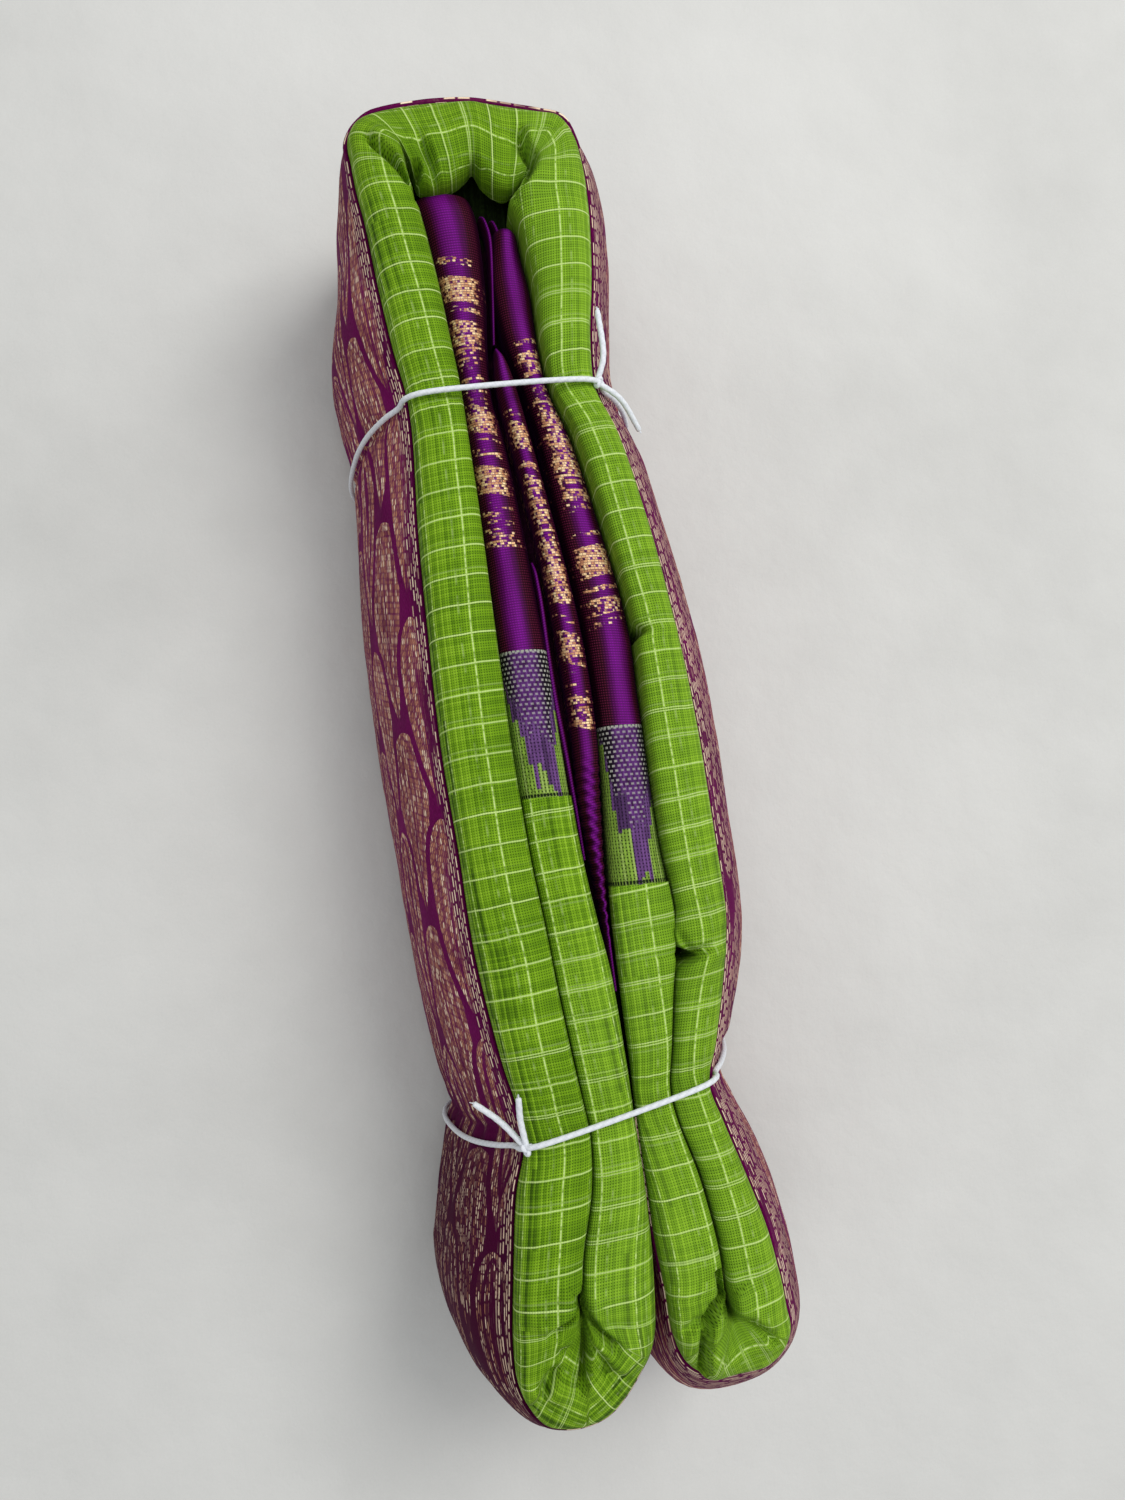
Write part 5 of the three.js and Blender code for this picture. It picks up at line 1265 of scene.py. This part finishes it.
def tie_path(t):
    y, tilt = t["y"], t["tilt"]
    off = STRING_D / 2 + 0.6
    x0 = float(arm("outL", np.array([y]))[0])

    def side(name):
        pts = []
        for i in range(7):
            p = wall_side_point(name, y, i)
            for _ in range(4):
                p = wall_side_point(name, y + (p[0] - x0) * tilt, i)
            x, z, ex = p
            if i == 6:
                pts.append((x + ex, STRING_D / 2 + 0.5))
            elif i == 5:
                pts.append((x + ex * (off + 0.7), z - 0.8))
            else:
                pts.append((x + ex * off * (0.75 if i < 2 else 1), z + off * (0.65 if i < 2 else 0)))
        return pts

    def shoulder(x, ex, hi):
        return [(x + ex * 0.7, EDGE_Z + 5), (x - ex * 2.2, hi + off - 1.2), (x - ex * 8, hi + off + 0.4)]

    yr = y + (float(arm("outR", np.array([y]))[0]) - x0) * tilt
    L = (x0, -1.0, float(arm("hi", np.array([y]))[0]))
    Rr = (float(arm("outR", np.array([yr]))[0]), 1.0, float(arm("hi", np.array([yr]))[0]))
    over = side("OL")[::-1] + shoulder(*L) + shoulder(*Rr)[::-1] + side("OR")
    a, b = over[-1], over[0]
    over += [(a[0] + (b[0] - a[0]) * i / 8, a[1]) for i in range(1, 8)]
    return np.array([(x, y + (x - x0) * tilt, z) for x, z in over])


def spline(points, closed, n):
    """Centripetal Catmull-Rom curve through points, n places along it."""
    p = np.asarray(points, float)
    m = len(p)
    if closed:
        ext = np.vstack([p[-1], p, p[0], p[1]])
        segs = m
    else:
        ext = np.vstack([2 * p[0] - p[1], p, 2 * p[-1] - p[-2]])
        segs = m - 1
    fine = []
    for k in range(segs):
        a, b, c, d = ext[k:k + 4]
        t0, t1 = 0.0, np.linalg.norm(b - a) ** 0.5
        t2 = t1 + np.linalg.norm(c - b) ** 0.5
        t3 = t2 + np.linalg.norm(d - c) ** 0.5
        for t in np.linspace(t1, t2, 24, endpoint=False):
            A1 = (t1 - t) / (t1 - t0) * a + (t - t0) / (t1 - t0) * b
            A2 = (t2 - t) / (t2 - t1) * b + (t - t1) / (t2 - t1) * c
            A3 = (t3 - t) / (t3 - t2) * c + (t - t2) / (t3 - t2) * d
            B1 = (t2 - t) / (t2 - t0) * A1 + (t - t0) / (t2 - t0) * A2
            B2 = (t3 - t) / (t3 - t1) * A2 + (t - t1) / (t3 - t1) * A3
            fine.append((t2 - t) / (t2 - t1) * B1 + (t - t1) / (t2 - t1) * B2)
    fine.append(ext[1] if closed else ext[-2])
    fine = np.array(fine)
    s = np.concatenate([[0], np.cumsum(np.linalg.norm(np.diff(fine, axis=0), axis=1))])
    x = np.linspace(0, s[-1], n)
    return np.column_stack([np.interp(x, s, fine[:, c]) for c in range(3)]), s[-1]


def tube_grid(points, closed, d, step=0.7, m=12, flat=0.0, taper=(0.0, 0.0), seed=0):
    """A two-ply string along points: rings with two soft lobes that turn along it."""
    _, length = spline(points, closed, 10)
    n = max(6, int(length / step))
    c, length = spline(points, closed, n)
    T = np.gradient(c, axis=0)
    T /= np.linalg.norm(T, axis=1, keepdims=True)
    ref = np.array([0.0, 1.0, 0.0])
    nrm = np.empty_like(T)
    v = ref - T[0] * (ref @ T[0])
    if np.linalg.norm(v) < 0.2:
        v = np.array([0, 0, 1.0]) - T[0] * T[0][2]
    v /= np.linalg.norm(v)
    for i in range(n):
        v = v - T[i] * (v @ T[i]); v /= np.linalg.norm(v)
        nrm[i] = v
    if closed:                        # share the twist out, so that the seam closes
        end = nrm[-1] - T[0] * (nrm[-1] @ T[0]); end /= np.linalg.norm(end)
        ang = math.atan2(np.cross(end, nrm[0]) @ T[0], end @ nrm[0])
        for i in range(n):
            a = ang * i / (n - 1)
            nrm[i] = nrm[i] * math.cos(a) + np.cross(T[i], nrm[i]) * math.sin(a)
    bn = np.cross(T, nrm)
    s = np.linspace(0, length, n)
    a = np.linspace(0, 2 * math.pi, m, endpoint=False)
    turns = round(length / 5.2) if closed else length / 5.2
    phase = 2 * math.pi * turns * s / length
    r = (d / 2) * (0.95 + 0.035 * np.cos(2 * (a[None, :] - phase[:, None] / 1.0)))
    r = r * (1 + 0.04 * noise2(s[:, None] / 3.0, a[None, :], 61 + seed))
    if taper[0]:
        r = r * (1 - taper[0] * np.exp(-(s / 0.8)[:, None] ** 2))
    if taper[1]:
        r = r * (1 - taper[1] * np.exp(-((length - s) / 0.8)[:, None] ** 2))
    P = c[:, None, :] + nrm[:, None, :] * (r * np.cos(a))[..., None] + bn[:, None, :] * (r * np.sin(a))[..., None]
    u = np.broadcast_to(s[:, None], (n, m + 1))
    vv = np.broadcast_to(np.linspace(0, 1, m + 1)[None, :], (n, m + 1))
    return P, u, vv


def join(name, objs):
    """One object from several, with all their materials."""
    for o in bpy.context.view_layer.objects:
        o.select_set(False)
    for o in objs:
        o.select_set(True)
    bpy.context.view_layer.objects.active = objs[0]
    bpy.ops.object.join()
    objs[0].name = name
    objs[0].data.name = name
    return objs[0]


def string_piece(t):
    pts = tie_path(t)
    parts = []
    P, u, vv = tube_grid(pts, True, STRING_D * 0.9, step=0.8)
    P = np.concatenate([P, P[:1]], 0)
    u = np.concatenate([u, u[-1:] + 0.8], 0); vv = np.concatenate([vv, vv[:1]], 0)
    parts.append(put_mesh(t["name"] + "_loop", P, {"cloth": (u, vv)}, MAT_STRING, closed=True))
    tops = pts[pts[:, 2] > EDGE_Z]
    near = tops[np.argmin(np.abs(tops[:, 0] - t["knotX"]))]
    K = np.array([t["knotX"], near[1], near[2] + 0.7])
    # the knot: a small overhand knot, round the loop
    a = np.linspace(0, 2 * math.pi, 60, endpoint=False)
    kn = np.stack([0.58 * (np.sin(a) + 1.3 * np.sin(2 * a)), 0.58 * (np.cos(a) - 1.3 * np.cos(2 * a)), -0.55 * np.sin(3 * a)], 1)
    P, u, vv = tube_grid(K + np.array([0, 0, 0.5]) + kn, True, 1.3, step=0.35, m=10, seed=3)
    P = np.concatenate([P, P[:1]], 0)
    u = np.concatenate([u, u[-1:] + 0.35], 0); vv = np.concatenate([vv, vv[:1]], 0)
    parts.append(put_mesh(t["name"] + "_knot", P, {"cloth": (u, vv)}, MAT_STRING, closed=True))
    for k, tail in enumerate(t["tails"]):
        line = np.vstack([K, np.array(tail)])
        P, u, vv = tube_grid(line, False, 1.75, step=0.5, taper=(0, 0.10), seed=5 + k)
        end = P[-1].mean(0)
        cap = end + (P[-1] - end) * 0.35
        P = np.concatenate([P, cap[None] + (P[-1] - P[-2]).mean(0) * 0.4, np.broadcast_to(end + (P[-1] - P[-2]).mean(0) * 0.5, P[-1].shape)[None]], 0)
        u = np.concatenate([u, u[-1:] + 0.2, u[-1:] + 0.3], 0); vv = np.concatenate([vv, vv[:1], vv[:1]], 0)
        parts.append(put_mesh(f"{t['name']}_tail{k}", P, {"cloth": (u, vv)}, MAT_STRING, closed=True))
        # a few loose fibres at the cut end
        rng = np.random.default_rng(70 + k)
        d = (P[-1] - P[-4]).mean(0); d /= np.linalg.norm(d)
        for _ in range(5):
            spread = rng.normal(0, 0.35, 3)
            f = np.array([end - d * 1.0, end + d * 0.5 + spread * 0.5, end + d * (0.9 + rng.uniform(0, 0.5)) + spread])
            f[:, 2] = np.maximum(f[:, 2], 0.3)
            Pf, uf, vf = tube_grid(f, False, 0.22, step=0.3, m=5, seed=9)
            parts.append(put_mesh(f"{t['name']}_fibre", Pf, {"cloth": (uf, vf)}, MAT_STRING, closed=True))
    return join(t["name"] + "_string", parts)


STRINGS = [string_piece(t) for t in TIES]
PIECES["pallu_centre_cloth"] = (join("pallu_centre_cloth", PALLU_C_PARTS), ["pallu_centre"])

# ------------------------------------------------------------------ floor and light
n = 140
fx = np.linspace(-900, 900, n)
FX, FY = np.meshgrid(fx, fx, indexing="ij")
far = smooth(np.hypot(FX - 14, FY), 120, 300)
FZ = -0.4 + 1.6 * far * (noise2(FX / 160, FY / 160, 81) - 0.9)
FZ = np.minimum(FZ, -0.05)
floor = put_mesh("floor", np.stack([FX, FY, FZ], -1), {"cloth": (FX, FY)}, MAT_FLOOR)

scene = bpy.context.scene
scene.view_settings.view_transform = "Standard"
scene.view_settings.look = "None"
world = bpy.data.worlds.new("studio")
scene.world = world
world.use_nodes = True
bg = world.node_tree.nodes["Background"]
bg.inputs[0].default_value = (0.96, 0.98, 1.0, 1)
bg.inputs[1].default_value = 0.49


def area(name, at, target, size, power, tint=(1, 1, 1)):
    d = bpy.data.lights.new(name, "AREA")
    d.shape = "RECTANGLE"
    d.size, d.size_y = size
    d.energy = power
    d.color = tint
    o = bpy.data.objects.new(name, d)
    scene.collection.objects.link(o)
    o.location = at
    o.rotation_mode = "QUATERNION"
    o.rotation_quaternion = (Vector(target) - Vector(at)).to_track_quat("-Z", "Y")
    return o


area("key", (0.55, 0.42, 1.20), (0, 0, 0.05), (0.6, 0.6), 10.2, (1.0, 0.985, 0.96))
area("top", (-0.05, -0.1, 1.5), (0, 0, 0.05), (1.1, 1.1), 5.0, (0.97, 0.985, 1.0))

# ------------------------------------------------------------------ riding on the root body, with the CAD parts they replace hidden
ROLLS = ["roll_outer_left", "roll_outer_right", "roll_top_bend", "roll_lobe_left", "roll_lobe_right", "roll_inner_left", "roll_inner_right"]
BORDERS = ["border_left", "border_right", "border_top_end", "border_lobe_left", "border_lobe_right", "border_slit_left", "border_slit_right"]
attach(body, "root"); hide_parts(*ROLLS)
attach(wall, "root"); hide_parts(*BORDERS)
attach(under, "root"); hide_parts("hidden_layers")
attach(inner, "root")
for name, (o, nodes) in PIECES.items():
    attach(o, "root"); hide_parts(*nodes)
for o, t in zip(STRINGS, TIES):
    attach(o, "root"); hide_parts(t["name"])

LENGTHS = {"body_cloth": G[-1, 9], "border_cloth": W[-1, 9], "underside_cloth": U[-1, 9], "inner_folds": 308.0}
OBJ = {"body_cloth": body, "border_cloth": wall, "underside_cloth": under, "inner_folds": inner, **{k: o for k, (o, _) in PIECES.items()}}
for name, o in OBJ.items():
    length = LENGTHS.get(name)
    if length is None:
        ys = np.array([v.co.y for v in o.data.vertices])
        length = float(ys.max() - ys.min()) * 1000
